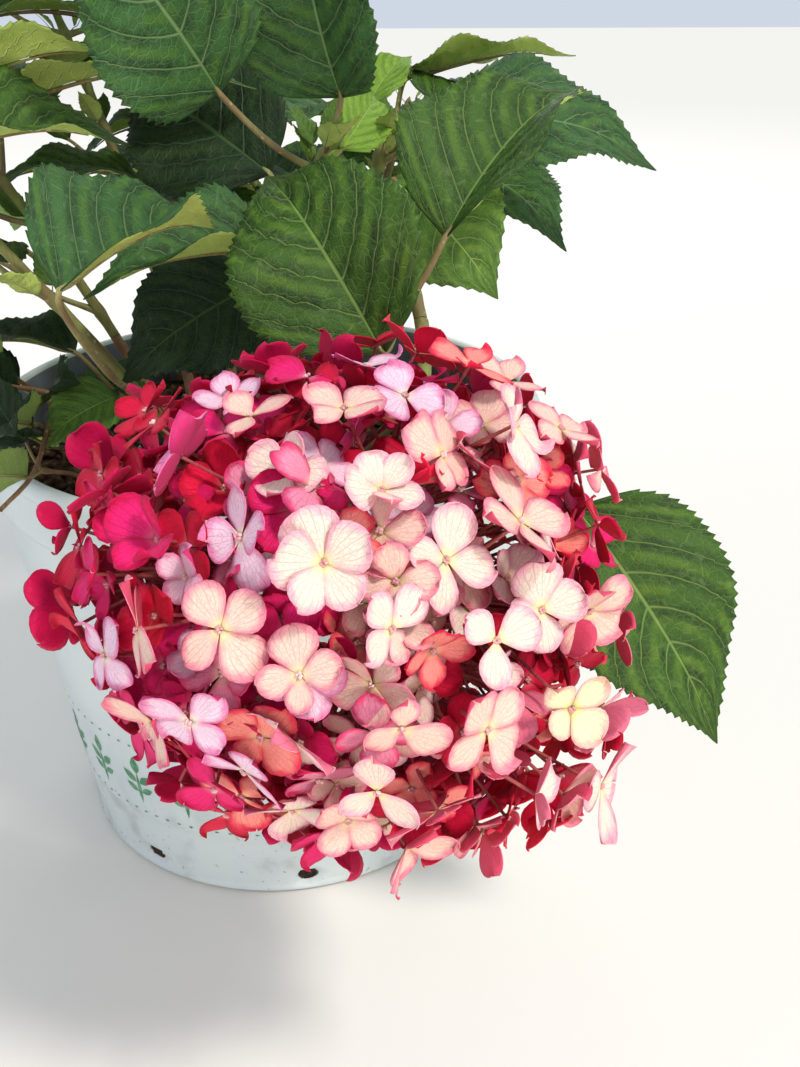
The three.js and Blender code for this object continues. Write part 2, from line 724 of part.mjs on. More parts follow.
// The curve that leads from the end of a cane's leafy stretch to the hub of its head
function headStalk(cane, hub) {
  if (cane.leafy < 1) {
    const rest = stretch(cane.curve, cane.leafy + JOINT_GAP / cane.length, 1);
    rest.points.push(hub);
    return rest;
  }
  const heading = cane.curve.getTangentAt(1);
  const ahead = cane.curve.getPointAt(1).addScaledVector(heading, JOINT_GAP);
  const lead = ahead.clone().addScaledVector(heading, HEAD_STALK_LEAD);
  return new THREE.CatmullRomCurve3([ahead, lead, hub], false, "centripetal");
}

HEADS.forEach((head, headIndex) => {
  const { hub, solids } = flowerHead(head, headIndex);
  const peduncle = headStalk(
    twigs.find((cane) => cane.name === head.cane),
    hub,
  );
  const radiusAt = (share) => lerp(HEAD_STALK_RADIUS, TIP_RADIUS, share);
  solids.push(limb(peduncle, radiusAt, TWIG_SIDES, HEAD_STALK_STEPS));
  const solid = fused(solids);
  placed.push({ mass: "flower_head_" + head.name, kind: "head", solid });
  addNode("flower_head_" + head.name, geometryOf(solid), COLOURS.bloom, 0.7);
});

const seen = twigs.map((cane) => frontLeaves(cane.name, cane.twig, cane.mass));
twigs.forEach((cane, i) => {
  const ruled = ruledLeaves(cane.index, cane.pairs, cane.twig, cane.mass);
  const solid = fused([cane.twigSolid, ...seen[i], ...ruled]);
  addNode(cane.mass, geometryOf(solid), COLOURS.leaf, 0.6);
});

export default plant;
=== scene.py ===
import math

import bpy
import numpy as np
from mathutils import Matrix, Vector
from mathutils.kdtree import KDTree


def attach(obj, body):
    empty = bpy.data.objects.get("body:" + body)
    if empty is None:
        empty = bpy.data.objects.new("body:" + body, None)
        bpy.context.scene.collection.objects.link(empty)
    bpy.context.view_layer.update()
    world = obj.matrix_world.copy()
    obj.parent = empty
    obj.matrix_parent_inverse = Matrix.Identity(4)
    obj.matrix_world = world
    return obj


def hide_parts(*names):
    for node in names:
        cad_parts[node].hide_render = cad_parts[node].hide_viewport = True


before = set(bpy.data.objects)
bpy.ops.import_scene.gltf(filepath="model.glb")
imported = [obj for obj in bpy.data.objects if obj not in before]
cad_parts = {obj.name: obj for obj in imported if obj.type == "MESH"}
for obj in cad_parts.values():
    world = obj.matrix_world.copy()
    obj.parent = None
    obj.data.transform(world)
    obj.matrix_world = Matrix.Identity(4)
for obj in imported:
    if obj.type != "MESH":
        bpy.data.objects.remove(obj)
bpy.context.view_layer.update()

MM = 0.001

# Pot and potting mix
RIM_RADIUS = 110
FOOT_RADIUS = 87
BAND_FOOT = 158
BAND_STEP = 3.2
WALL_INSET = 1.3
LEDGES = ((30, 0.7), (128, 0.6))
LEDGE_RISE = 1.5
POT_SEGMENTS = 208
WALL_START = 3
WALL_STEP = 1.75
MIX_LEVEL = 158
MIX_RADIUS = 101
DRAINS = 8
DRAIN_SHIFT = 0.3
DRAIN_LEVEL = 7.5
DRAIN_HALF_WIDTH = 5.5
DRAIN_HALF_HEIGHT = 4
DRAIN_PRESS = 2.6
DRAIN_EDGE = (0.7, 1.05)
DRAIN_TOP = 16

# Canes
CANE_FOOT = 158.4
FOOT_FLARE = 1.7
FLARE_HEIGHT = 14
CANE_RADIUS = 2.6
FLOWER_RADIUS = 2.8
TWIG_RADIUS = 2.2
TIP_RADIUS = 1.6
HEAD_STALK_RADII = (2.2, 1.6)
HEAD_STALK_RIDGES = 0.05
HEAD_STALK_LEAD = 6
JOINT_GAP = 0.3
FLOWER_BARE = 0.3
FLOWER_LEAFY = 0.68
CANE_SIDES = 14
TWIG_SIDES = 10
RIDGES = ((3, 0.35), (5, 0.3), (7, 0.35))
RIDGE_DRIFT = 0.12
RIDGE_GRAIN = 0.3
STEM_RIDGES = 0.14
TWIG_RIDGES = 0.06
STEM_RING_STEP = 1.6
TWIG_RING_STEP = 2
STEM_INSET = 0.25
TWIG_INSET = 0.15
FIRST_JOINT = 18
LAST_JOINT = 6
JOINT_STEP = 34
JOINT_WIDTH = 3.2
JOINT_SWELL = 0.5
TWIG_SWELL = 0.55
TIP_STEPS = (1.2, 2.4, 3.4)
TIP_SHARES = (0.85, 0.5)
TIP_POINT = 0.1

# Leaves that stand in pairs by rule vary within these ranges
PAIR_TURN = 90
CANE_TURN = 37
SWAY = 30
SWAY_STEP = 40
FIRST_PAIR = 0.08
LAST_PAIR = 0.97
LAST_PAIR_LIFT = 0.25
PETIOLE_RISE = 0.25
PETIOLE_RISE_SPREAD = 0.5
PETIOLE_SAG = 0.07
PETIOLE_LENGTHS = (20, 36)
BLADE_LENGTHS = (74, 96)
BLADE_SLOPES = (-0.42, 0.2)
BLADE_SWAY = 0.6
BLADE_WIDTHS = (0.62, 0.74)
BLADE_FOLDS = (6, 20)
BLADE_CURLS = (0.05, 0.13)
BLADE_FACING = 0.3
LEAF_TRIES = 8
LEAF_SHRINK = 0.06

# A blade's fine shape: half its width at shares of its length, its teeth, its veins and its relief
BLADE_OUTLINE = (
    (0, 0.02),
    (0.035, 0.2),
    (0.1, 0.35),
    (0.2, 0.455),
    (0.34, 0.5),
    (0.52, 0.43),
    (0.7, 0.28),
    (0.83, 0.14),
    (0.92, 0.055),
    (1, 0.004),
)
BLADE_COLUMNS = (-1, -0.9, -0.72, -0.52, -0.32, -0.15, -0.04, 0.04, 0.15, 0.32, 0.52, 0.72, 0.9, 1)
SMALL_BLADE_COLUMNS = (-1, -0.7, -0.35, -0.06, 0.06, 0.35, 0.7, 1)
BLADE_EDGE = 0.45
TEETH = 24
FEWEST_TEETH = 8
TEETH_LENGTH = 80
TOOTH = 1.6
TOOTH_STATIONS = ((0, 0), (0.42, 0.4), (0.82, 1))
TOOTHLESS = 0.02
TOOTH_SHARPNESS = 8
TOOTH_ENDS = (0, 0.12)
VEINS = 7
VEIN_RISE = 0.33
VEIN_BEND = 1.3
QUILTING = 2.3
RIB_GROOVE = 0.8
RIB_HALF_WIDTH = 2
EDGE_WAVE = 2.2
EDGE_WAVES = 2.3
WAVE_SHIFTS = (1, 5)
WAVE_ENDS = (0, 0.3)
PLEAT_ROUNDING = 0.03
PLEAT_MIDDLE = 0.35
PLEAT_START = (0.03, 0.3)
PLEAT_ENDS = (0.04, 0.25)
FOLD_ROUNDING = 2.5
RIM_THINNING = 0.6
DROOP = 0.05
DROOP_START = 0.55
TWIST = 0.12

# A narrower blade is made of fewer points, and a shorter one has less relief
SMALL_WIDTH = 15
RELIEF_LENGTH = 70

# A petiole and the midrib that it runs on into
PETIOLE_RADII = (2, 1.5, 1.15, 0.95, 0.22)
PETIOLE_FULL_WIDTH = 40
PETIOLE_SIDES = 8
PETIOLE_RINGS = 40
SMALL_PETIOLE_RINGS = 12
PETIOLE_NECK = (0.06, 0.2)
PETIOLE_DEPTH = 0.6
RIB_SHARES = (0.06, 0.14, 0.24, 0.34, 0.46, 0.58, 0.7, 0.82)
RIB_DEPTHS = (1.25, 0.5)

# A leaf's tone by how high it stands: each limit with the tone below it. The dark tone, low in the clump, is
# painted shade.
TONE_FOOT = 220
TONE_HEIGHT = 150
TONE_SPREAD = 0.35
TONE_LIMITS = ((0.1, "dark"), (0.55, "deep"), (1, "green"), (math.inf, "fresh"))

# Young leaves at the joints and the tips of twigs
SHOOT_SHARE = 0.55
SHOOT_SIZES = (13, 24)
TIP_PAIR = 0.995
TIP_PAIR_SIZES = (12, 17)
YOUNG_SIZE = 16
YOUNG_STALK = 0.35
YOUNG_WIDTH = 0.5
YOUNG_FOLD = 28
YOUNG_CURL = 0.06
YOUNG_DROOP = 0.02
YOUNG_SHARE = 0.5
YOUNG_RISES = (0.7, 1.2)
YOUNG_TILTS = (-0.1, 0.3)
HEADING_STEP = 0.02

# Florets, which the solid model places by the same rule
SEPAL_HALF_ANGLE = 24
SEPAL_LIFT = 0.08
FLORET_SIZES = (0.84, 1.12)
FLORET_INSET = 0.2
FLORET_DEPTHS = 0.1
FLORET_LEAN = 1.1
FLORET_TRIES = 8
FLORET_SHRINK = 0.04
FLORET_SINK = 0.02
BULGE_SHARPNESS = 6

# Smaller florets that sit deeper, between the others
FILLER_DEPTHS = (0.68, 0.86)
FILLER_SIZES = (0.66, 0.92)
FILLER_GAP = 0.58
FILLER_LEAN = 0.7
# How much deeper the fillers' colours are, as painted shade between the standing florets
FILLER_PAINTED_SHADE = 0.46
FILLER_JITTER = 0.07
FILLER_SPIN = 3.1

# The arms and branches that carry the florets
ARM_REACH = 0.3
BRANCH_REACH = 0.55
TOP_ROOT = 0.97
ROOT_STEP = 0.17
FLORETS_PER_BRANCH = 5
BRANCHES_PER_ARM = 4

# A sepal's fine shape, and how the sepals of a floret stand
SEPAL_WIDEST = 0.6
SEPAL_FOOT_CURVE = 1.15
SEPAL_NARROWEST = 0.03
SEPAL_ROWS = (0.03, 0.16, 0.32, 0.47, 0.6, 0.74, 0.86, 0.94, 0.984, 0.9995)
SEPAL_COLUMNS = (-1, -0.72, -0.38, 0, 0.38, 0.72, 1)
INNER_ROWS = (0.03, 0.25, 0.5, 0.72, 0.88, 0.965, 0.9995)
INNER_COLUMNS = (-1, -0.55, 0, 0.55, 1)
SEPAL_EDGE = 0.22
SEPAL_WIDTHS = (0.36, 0.54)
SEPAL_LENGTHS = (0.74, 1.06)
SEPAL_FOOT = 0.05
NOTCHED_SHARE = 0.16
NOTCHES = (0.03, 0.07)
NOTCH_WIDTH = 0.3
NOTCH_START = 0.7
UNNOTCHED = -0.01
CUPS = (-0.03, 0.16)
ROLLS = (-0.1, 0.2)
BENDS = (-0.1, 0.2)
RIPPLE = 0.02
RIPPLES = 8
RIPPLE_TURN = 6
RIPPLE_START = (0.2, 0.7)
THREE_PARTED = 0.06
FIVE_PARTED = 0.92
HALF_OPEN_SHARE = 0.22
HALF_OPEN = 0.25
OPEN_SPREAD = 0.2
STEEPEST = 1.2
SPACING_SPREAD = 0.07

# The buds at a floret's middle
EYE_BUDS = 4
EYE_SIZES = (0.42, 0.62)
EYE_HEIGHT = 0.9
EYE_REACH = 0.5
EYE_JITTER = 0.4
EYE_SIDES = 5
EYE_ROWS = (-0.6, 0.3, 1)
EYE_WIDTHS = (0.75, 0.95, 0.15)

# How thick the stalks inside a flower head are, and how its pedicels bend
ARM_RADII = (1.7, 1.2)
ARM_FOOT = -0.1
ARM_SIDES = 8
BRANCH_RADII = (1.2, 0.8)
BRANCH_SIDES = 7
STALK_RINGS = 6
PEDICEL_RADII = (0.62, 0.42)
PEDICEL_ROOTS = (0.45, 0.98)
PEDICEL_BEND = 0.12
PEDICEL_SWAY = 0.6
PEDICEL_KNEE = 0.6
PEDICEL_END = 0.4
PEDICEL_RINGS = 7
PEDICEL_SIDES = 6

# How a floret's colour follows from how squarely it faces the lit front of its head, as painted light and
# shade
SHADE_SPREAD = 0.12
LEFT_EDGE = -0.1
LEFT_SPREAD = 0.25
LEFT_LEAN = 0.3
LIME_SCORE = 0.9
LIME_SHARE = 0.1
# How much paler the lit right side is, as painted light
RIGHT_LIT_PALER = 0.03

# The lowest score of each group of florets, and its shades, each with the draw below which it is dealt. The
# left, which lies in shade, gets more magenta as painted shade.
SHADE_SCORES = (0.76, 0.5, 0.22, -math.inf)
LEFT_SHADES = (
    (("blush", 0.65), ("shell", 1)),
    (("lilac", 0.6), ("shell", 0.85), ("rose", 1)),
    (("magenta", 0.42), ("lilac", 0.72), ("rose", 1)),
    (("magenta", 0.66), ("crimson", 1)),
)
RIGHT_SHADES = (
    (("blush", 0.65), ("shell", 1)),
    (("shell", 0.5), ("blush", 0.85), ("coral", 1)),
    (("coral", 0.4), ("shell", 0.8), ("crimson", 1)),
    (("crimson", 0.42), ("coral", 0.8), ("magenta", 1)),
)

# A vertex of the solid model counts as found within this distance
FOUND = 0.4

# Each cane but the flower's: its foot, knee and top, how much of it is bare, and its pairs of leaves by rule
CANES = [
    ("centre", (-4, -22), (8, -34, 225), (27, -46, 286), 0.5, 0),
    ("front_left", (-26, -26), (-42, -64, 214), (-98, -84, 298), 0.2, 3),
    ("front_right", (30, -24), (64, -56, 203), (92, -84, 199), 0.6, 0),
    ("right", (20, 6), (38, 0, 225), (47, -6, 280), 0.6, 2),
    ("left", (-34, 2), (-72, 0, 236), (-124, -10, 322), 0.3, 7),
    ("back_right", (22, 30), (42, 54, 230), (60, 82, 284), 0.32, 6),
    ("back", (-8, 38), (-8, 84, 250), (-12, 116, 322), 0.3, 6),
    ("back_left", (-30, 26), (-56, 56, 250), (-94, 80, 352), 0.28, 8),
    ("tall", (-14, 16), (-22, 38, 270), (-34, 36, 384), 0.34, 8),
]

# The flower's cane, from its foot over the rim to its head
FLOWER_CANE = [
    (12, -16, CANE_FOOT),
    (16, -36, 214),
    (26, -62, 250),
    (41, -84, 262),
    (54, -98, 254),
    (57, -118, 236),
    (50, -142, 216),
    (40, -164, 200),
]

# The leaves that face the front: the cane, the share of its twig where the petiole leaves it, the blade's
# base, tip and width, where its upper side looks, how far its halves lift, how far it bows, its tone, and for
# some how much more one half lifts, with the sign of that half, and how deep its pleats are
FRONT_LEAVES = [
    ("flower", 0.88, (45, -114, 240), (8, -62, 284), 62, (0.1, -1, 0.4), 12, 0.18, "green", 20, 2.1),
    ("flower", 0.9, (64, -97, 271), (112, -46, 309), 62, (-0.56, -0.64, 0.53), 36, 0.08, "green"),
    ("front_right", 0.95, (107, -110, 186), (154, -146, 117), 62, (0.3, -1, 0.5), 10, 0.08, "green"),
    ("centre", 0.9, (-4, -62, 307), (-47, -90, 372), 58, (0.2, -1, 0.5), 12, 0.08, "deep"),
    ("centre", 0.96, (33, -52, 304), (20, -66, 376), 56, (-0.46, -0.88, 0), 28, 0.06, "deep"),
    ("centre", 0.56, (15, -62, 258), (-47, -92, 254), 46, (0, -0.3, 1), 32, 0.08, "deep", -10),
    ("centre", 0.5, (7, -20, 275), (-49, 36, 298), 60, (-0.2, -0.7, 0.6), 10, 0.1, "dark"),
    ("centre", 0.36, (50, -36, 276), (86, -56, 240), 54, (0.3, -0.9, 0.3), 8, 0.1, "fresh"),
    ("centre", 0.12, (4, -50, 244), (-44, -70, 216), 52, (-0.3, -0.8, 0.7), 8, 0.08, "dark"),
    ("centre", 0.97, (33, -26, 284), (46, 8, 298), 22, (0.4, -0.8, 0.6), 20, 0.1, "young"),
    ("right", 0.9, (62, -20, 291), (143, -30, 280), 54, (0, -0.5, 0.9), 8, 0.12, "deep"),
    ("right", 0.94, (58, 40, 300), (122, 34, 311), 40, (0, 0.3, 1), 10, 0.04, "fresh"),
    ("right", 0.98, (42, 22, 291), (60, 46, 308), 22, (-0.3, -0.8, 0.5), 26, 0.1, "young"),
    ("front_left", 0.2, (-41, -144, 269), (-4, -94, 276), 58, (0, -0.27, 0.96), 34, 0.08, "deep", 6),
    ("front_left", 0.85, (-93, -92, 291), (-31, -76, 297), 50, (0.1, -0.3, 1), 24, 0.1, "green", 10),
    ("front_left", 0.95, (-100, -64, 303), (-36, -50, 321), 50, (0.1, 0.1, 1), 20, 0.06, "fresh", 9),
    ("front_left", 0.06, (-46, -62, 208), (-72, -76, 195), 26, (-0.1, -0.6, 0.8), 10, 0.1, "fresh"),
]

# The flower heads. A head is a ball that is open round its axis up to an angle, and its hub lies behind its
# centre by a share of its radius. pale is where its palest florets look: the side that faces the light, so
# that their paleness is painted light. Each bulge is a direction and how much further out or in the florets
# stand there, and more are florets that the solid head lacks.
HEADS = [
    dict(
        name="front",
        cane="flower",
        centre=(32, -181, 196),
        radius=75,
        axis=(0, -1, -0.12),
        open=132,
        hub=0.2,
        florets=122,
        size=12.6,
        fillers=420,
        pale=(0.28, -0.86, 0.42),
        bulges=(
            ((0.715, -0.538, -0.452), 0.2),
            ((0.089, -0.693, -0.716), -0.15),
            ((-0.164, 0.282, 0.944), -0.11),
            ((0.973, -0.16, 0.192), -0.12),
            ((0.85, 0.03, 0.52), 0.13),
            ((-0.909, -0.034, 0.406), 0.05),
            ((-0.792, -0.485, -0.362), -0.12),
        ),
        more=((0.77, -0.51, -0.38), (0.65, -0.56, -0.51), (0.88, 0.01, 0.47), (0.49, -0.63, -0.61)),
    ),
    dict(
        name="back",
        cane="back",
        centre=(-14, 136, 352),
        radius=40,
        axis=(0, 0.6, 0.8),
        open=112,
        hub=0.3,
        florets=34,
        size=11,
        fillers=90,
        pale=(0, 0.6, 0.8),
        bulges=(),
        more=(),
    ),
]

# Thin shoots low at the front left, each with its pairs of leaves as (share, length, tone). Their dark tone
# is painted shade inside the pot.
LOW_SHOOTS = [
    ([(-58, -34, 157), (-66, -52, 184), (-74, -68, 200)], [(0.99, 34, "dark"), (0.6, 30, "deep")]),
    ([(-50, -50, 157), (-62, -68, 180), (-70, -84, 190)], [(0.99, 32, "dark")]),
    ([(-60, -12, 157), (-74, -30, 190), (-88, -44, 210)], [(0.99, 36, "dark"), (0.7, 34, "dark")]),
    ([(-46, -30, 157), (-60, -50, 190), (-67, -62, 204), (-72, -88, 190), (-80, -102, 184)], []),
    ([(-38, -42, 157), (-50, -58, 190), (-64, -64, 208), (-88, -62, 213)], []),
]
LOW_LEAF_WIDTH = 0.66
LOW_LEAF_FOLD = 14
LOW_LEAF_DROOP = 0.12
LOW_SHOOT_RADII = (1.3, 0.8)
LOW_SHOOT_SIDES = 8
LOW_SHOOT_RIDGES = 0.08

# The print on the pot: each leaf of a sprig as (x, y, heading, length), and its stem
SPRIG_COUNT = 26
SPRIG_HEIGHT = 50
SPRIG_LEAVES = ((0, 5, 90, 9), (-1, 0, 140, 8), (1, 0, 40, 8), (-1, -5, 150, 6.5), (1, -5, 30, 6.5))
SPRIG_STEM = (0, -11, 90, 17)
STEM_THINNING = 0.22
DOT = (-0.8, 0, 0, 1.8)
DOT_ROWS = (-16, 20)
DOTS_PER_SPRIG = 4
PRINT_THICKNESS = 0.12
PATCH_CURVE = 0.85
PATCH_WIDTH = 0.24
PATCH_TIP = 0.05

# The potting mix: its surface, and its crumbs and grit as (count, sizes, flatness)
MIX_RINGS = 60
MIX_SPOKES = 150
MIX_RISE = 1.2
MIX_ROLL = 0.55
MIX_GRAIN = 0.28
MIX_HOLE = 0.5
MIX_OVERLAP = 1.5
MIX_EDGE = 2
MIX_EDGE_RISE = 0.3
ROLL_WAVES = 14
LONGEST_WAVE = 60
ROLL_FADING = 0.8
CRUMBS = (1300, (0.8, 3), 0.45)
GRIT = (90, (0.6, 1.4), 0.8)
CRUMB_WIDTHS = (0.5, 0.9)
CRUMB_ROUGHNESS = 0.16
CRUMB_TILT = 0.4
CRUMB_RISE = 1.6
CRUMB_INSET = 3

# Seeds of the random numbers
SHOOT_SEED = 77
CANE_SEED = 100
HEAD_SEED = 700
POT_SEED = 31

# The largest random turn, in radians
TURN = 6.28

# Directions, curves and random numbers

MASK = 0xFFFFFFFF
GOLDEN_ANGLE = math.pi * (3 - math.sqrt(5))


def seeded_random(seed):
    """A generator of numbers from 0 to 1 that gives the same row for the same seed."""
    state = [seed & MASK]

    def draw():
        state[0] = (state[0] + 0x6D2B79F5) & MASK
        t = ((state[0] ^ (state[0] >> 15)) * (state[0] | 1)) & MASK
        t = (t + (((t ^ (t >> 7)) * (t | 61)) & MASK)) & MASK ^ t
        return ((t ^ (t >> 14)) & MASK) / 4294967296

    return draw


def lerp(low, high, share):
    return low + (high - low) * share


def unit(v):
    v = np.asarray(v, float)
    return v / np.linalg.norm(v)


def smooth_step(low, high, x):
    share = np.clip((x - low) / (high - low), 0, 1)
    return share * share * (3 - 2 * share)


def outline_at(stations, t):
    """A smooth line through stations of (place, value)."""
    xs, ys = np.array(stations, float).T
    slopes = np.gradient(ys, xs)
    i = np.clip(np.searchsorted(xs, t, side="right") - 1, 0, len(xs) - 2)
    span = xs[i + 1] - xs[i]
    u = (t - xs[i]) / span
    start = (1 + 2 * u) * (1 - u) ** 2 * ys[i] + u * (1 - u) ** 2 * slopes[i] * span
    end = u * u * (3 - 2 * u) * ys[i + 1] + u * u * (u - 1) * slopes[i + 1] * span
    return np.maximum(start + end, 0)


def round_angles(count):
    return np.arange(count) * 2 * math.pi / count


def turn_to(direction):
    """The shortest turn that takes +Z to a direction, as a matrix."""
    x, y, z = unit(direction)
    if z < -0.999999:
        return np.diag([1.0, -1.0, -1.0])
    k = 1 / (1 + z)
    return np.array([[1 - x * x * k, -x * y * k, x], [-x * y * k, 1 - y * y * k, y], [-x, -y, z]])


def turned_about_z(v, angle):
    c, s = math.cos(angle), math.sin(angle)
    return np.array([v[0] * c - v[1] * s, v[0] * s + v[1] * c, v[2]])


class Curve:
    """A centripetal Catmull-Rom curve, open at both ends."""

    def __init__(self, points):
        self.points = [np.array(p, float) for p in points]
        self.shares = np.linspace(0, 1, 201)
        sampled = np.array([self.at(t) for t in self.shares])
        steps = np.linalg.norm(np.diff(sampled, axis=0), axis=1)
        self.lengths = np.concatenate([[0], np.cumsum(steps)])
        self.length = self.lengths[-1]

    def at(self, t):
        last = len(self.points) - 1
        i = min(int(t * last), last - 1)
        u = t * last - i
        p1, p2 = self.points[i], self.points[i + 1]
        p0 = self.points[i - 1] if i > 0 else 2 * p1 - p2
        p3 = self.points[i + 2] if i + 2 <= last else 2 * p2 - p1
        d0, d1, d2 = [max(np.sum((b - a) ** 2), 1e-12) ** 0.25 for a, b in ((p0, p1), (p1, p2), (p2, p3))]
        t1 = ((p1 - p0) / d0 - (p2 - p0) / (d0 + d1) + (p2 - p1) / d1) * d1
        t2 = ((p2 - p1) / d1 - (p3 - p1) / (d1 + d2) + (p3 - p2) / d2) * d1
        c2 = -3 * p1 + 3 * p2 - 2 * t1 - t2
        c3 = 2 * p1 - 2 * p2 + t1 + t2
        return p1 + t1 * u + c2 * u * u + c3 * u**3

    def even(self, share):
        """The point at a share of the curve's length."""
        return self.at(np.interp(share * self.length, self.lengths, self.shares))

    def evens(self, shares):
        return [self.even(share) for share in shares]

    def stretch(self, start, end, count=33):
        return Curve(self.evens(lerp(start, end, i / (count - 1)) for i in range(count)))

    def heading(self):
        return unit(self.at(1) - self.at(1 - 1e-4))


# Joined meshes


class Heap:
    """The points and four-cornered faces of many small bodies that are joined into one piece."""

    def __init__(self):
        self.points = []
        self.quads = []
        self.places = []
        self.kinds = []
        self.count = 0

    def add(self, points, quads, places=None, kinds=None):
        self.points.append(points)
        self.quads.append(quads + self.count)
        if places is not None:
            self.places.append(places)
        self.kinds.append(np.zeros(len(quads), int) if kinds is None else kinds)
        self.count += len(points)


def make_piece(name, heap, materials, nodes=()):
    """One object from a heap. It rides on the root body and stands for the given nodes."""
    points = np.concatenate(heap.points) * MM
    quads = np.concatenate(heap.quads)
    mesh = bpy.data.meshes.new(name)
    mesh.vertices.add(len(points))
    mesh.vertices.foreach_set("co", points.astype(np.float32).ravel())
    mesh.loops.add(quads.size)
    mesh.loops.foreach_set("vertex_index", quads.astype(np.int32).ravel())
    mesh.polygons.add(len(quads))
    mesh.polygons.foreach_set("loop_start", np.arange(0, quads.size, 4, dtype=np.int32))
    mesh.update(calc_edges=True)
    if heap.places:
        places = np.concatenate(heap.places).astype(np.float32)
        mesh.uv_layers.new(name="OFBake").data.foreach_set("uv", places.ravel())
    mesh.polygons.foreach_set("use_smooth", np.ones(len(quads), bool))
    mesh.polygons.foreach_set("material_index", np.concatenate(heap.kinds).astype(np.int32))
    for material in materials:
        mesh.materials.append(material)
    piece = bpy.data.objects.new(name, mesh)
    bpy.context.scene.collection.objects.link(piece)
    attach(piece, "root")
    if nodes:
        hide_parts(*nodes)
    return piece


def grid_quads(rows, columns, closed=False):
    """The faces of a grid of points, row by row. A closed one joins its last column to its first."""
    index = np.arange(rows * columns).reshape(rows, columns)
    if closed:
        index = np.hstack([index, index[:, :1]])
    corners = [index[:-1, :-1], index[:-1, 1:], index[1:, 1:], index[1:, :-1]]
    return np.stack([c.ravel() for c in corners], axis=1)


def tube(points, radii, sides):
    """A round limb along points. radii is one number for each point, or one for each side of each."""
    points = np.asarray(points, float)
    tangents = np.gradient(points, axis=0)
    tangents /= np.linalg.norm(tangents, axis=1)[:, None]
    normal = np.cross(tangents[0], (0.31, 0.17, 0.93))
    normals = []
    for tangent in tangents:
        normal = unit(normal - tangent * normal.dot(tangent))
        normals.append(normal)
    normals = np.array(normals)
    binormals = np.cross(tangents, normals)
    angles = round_angles(sides)[None, :, None]
    ring = np.cos(angles) * normals[:, None] + np.sin(angles) * binormals[:, None]
    radii = np.asarray(radii, float)
    radii = radii[:, None] if radii.ndim == 1 else radii
    body = points[:, None] + ring * radii[:, :, None]
    return body.reshape(-1, 3), grid_quads(len(points), sides, closed=True)


# Where a thin body's upper and lower sides lie on its map
MAP_MIDDLES = (0.25, 0.75)
MAP_HALF = 0.21
MAP_FOOT = 0.04
MAP_LENGTH = 0.92
MAP_RIM = 0.012


def thin_body(upper, lower, across, along):
    """A closed thin body between two grids, with the place of each face corner on its map."""
    rows, columns = upper.shape[:2]
    points = np.concatenate([upper.reshape(-1, 3), lower.reshape(-1, 3)])
    s, t = np.meshgrid(across, along)
    v = (MAP_FOOT + MAP_LENGTH * t).ravel()
    top_map = np.stack([MAP_MIDDLES[0] + MAP_HALF * s.ravel(), v], axis=1)
    low_map = np.stack([MAP_MIDDLES[1] + MAP_HALF * s.ravel(), v], axis=1)
    top = grid_quads(rows, columns)
    low = top[:, (0, 3, 2, 1)]
    under = rows * columns
    quads = [top, low + under]
    places = [top_map[top], low_map[low]]
    index = np.arange(under).reshape(rows, columns)
    rims = [
        (index[:-1, 0], index[1:, 0], (-MAP_RIM, 0)),
        (index[1:, -1], index[:-1, -1], (MAP_RIM, 0)),
        (index[0, 1:], index[0, :-1], (0, -MAP_RIM)),
        (index[-1, :-1], index[-1, 1:], (0, MAP_RIM)),
    ]
    for a, b, shift in rims:
        quads.append(np.stack([a, b, b + under, a + under], axis=1))
        outer = np.array(shift)
        places.append(np.stack([top_map[a], top_map[b], top_map[b] + outer, top_map[a] + outer], axis=1))
    return points, np.concatenate(quads), np.concatenate(places).reshape(-1, 2)


def surface_normals(grid):
    along = np.gradient(grid, axis=0)
    across = np.gradient(grid, axis=1)
    normals = np.cross(across, along)
    return normals / np.maximum(np.linalg.norm(normals, axis=2), 1e-9)[:, :, None]


# The solid model's vertices, to find which leaves and florets stand


def vertex_tree(node):
    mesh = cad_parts[node].data
    tree = KDTree(len(mesh.vertices))
    for i, vertex in enumerate(mesh.vertices):
        tree.insert(vertex.co / MM, i)
    tree.balance()
    return tree


def stands(tree, point):
    return tree.find(Vector(point))[2] < FOUND


# Canes and twigs


def growth():
    """Each cane with its curve, its bare stem and its leafy twig."""
    canes = [dict(name="flower", index=0, curve=Curve(FLOWER_CANE), radius=FLOWER_RADIUS)]
    canes[0].update(bare=FLOWER_BARE, leafy=FLOWER_LEAFY, pairs=0, tip=TWIG_RADIUS)
    for i, (name, foot, knee, top, bare, pairs) in enumerate(CANES):
        curve = Curve([(*foot, CANE_FOOT), knee, top])
        cane = dict(name=name, index=i + 1, curve=curve, radius=CANE_RADIUS)
        cane.update(bare=bare, leafy=1, pairs=pairs, tip=TIP_RADIUS)
        canes.append(cane)
    for cane in canes:
        curve = cane["curve"]
        cane["stem"] = curve.stretch(0, cane["bare"])
        cane["twig"] = curve.stretch(cane["bare"] + JOINT_GAP / curve.length, cane["leafy"])
    return canes


def add_bark(heap, points, radii, sides, depth, rng):
    """A limb with low ridges that run lengthwise and wander a little."""
    rings = len(radii)
    angles = round_angles(sides)
    drift = np.cumsum(rng.normal(0, RIDGE_DRIFT, rings))
    ridges = np.zeros((rings, sides))
    for k, share in RIDGES:
        phase = rng.uniform(0, TURN)
        ridges += share * np.cos(k * angles[None, :] + phase + drift[:, None] * (k % 3 + 1))
    grain = rng.normal(0, RIDGE_GRAIN, (rings, sides))
    heap.add(*tube(points, radii[:, None] + depth * (ridges + grain), sides))


def swollen(shares, length, joints, amount):
    """How much thicker a cane is at its joints, in millimetres."""
    extra = np.zeros(len(shares))
    for joint in joints:
        extra += amount * np.exp(-(((shares - joint) * length / JOINT_WIDTH) ** 2))
    return extra


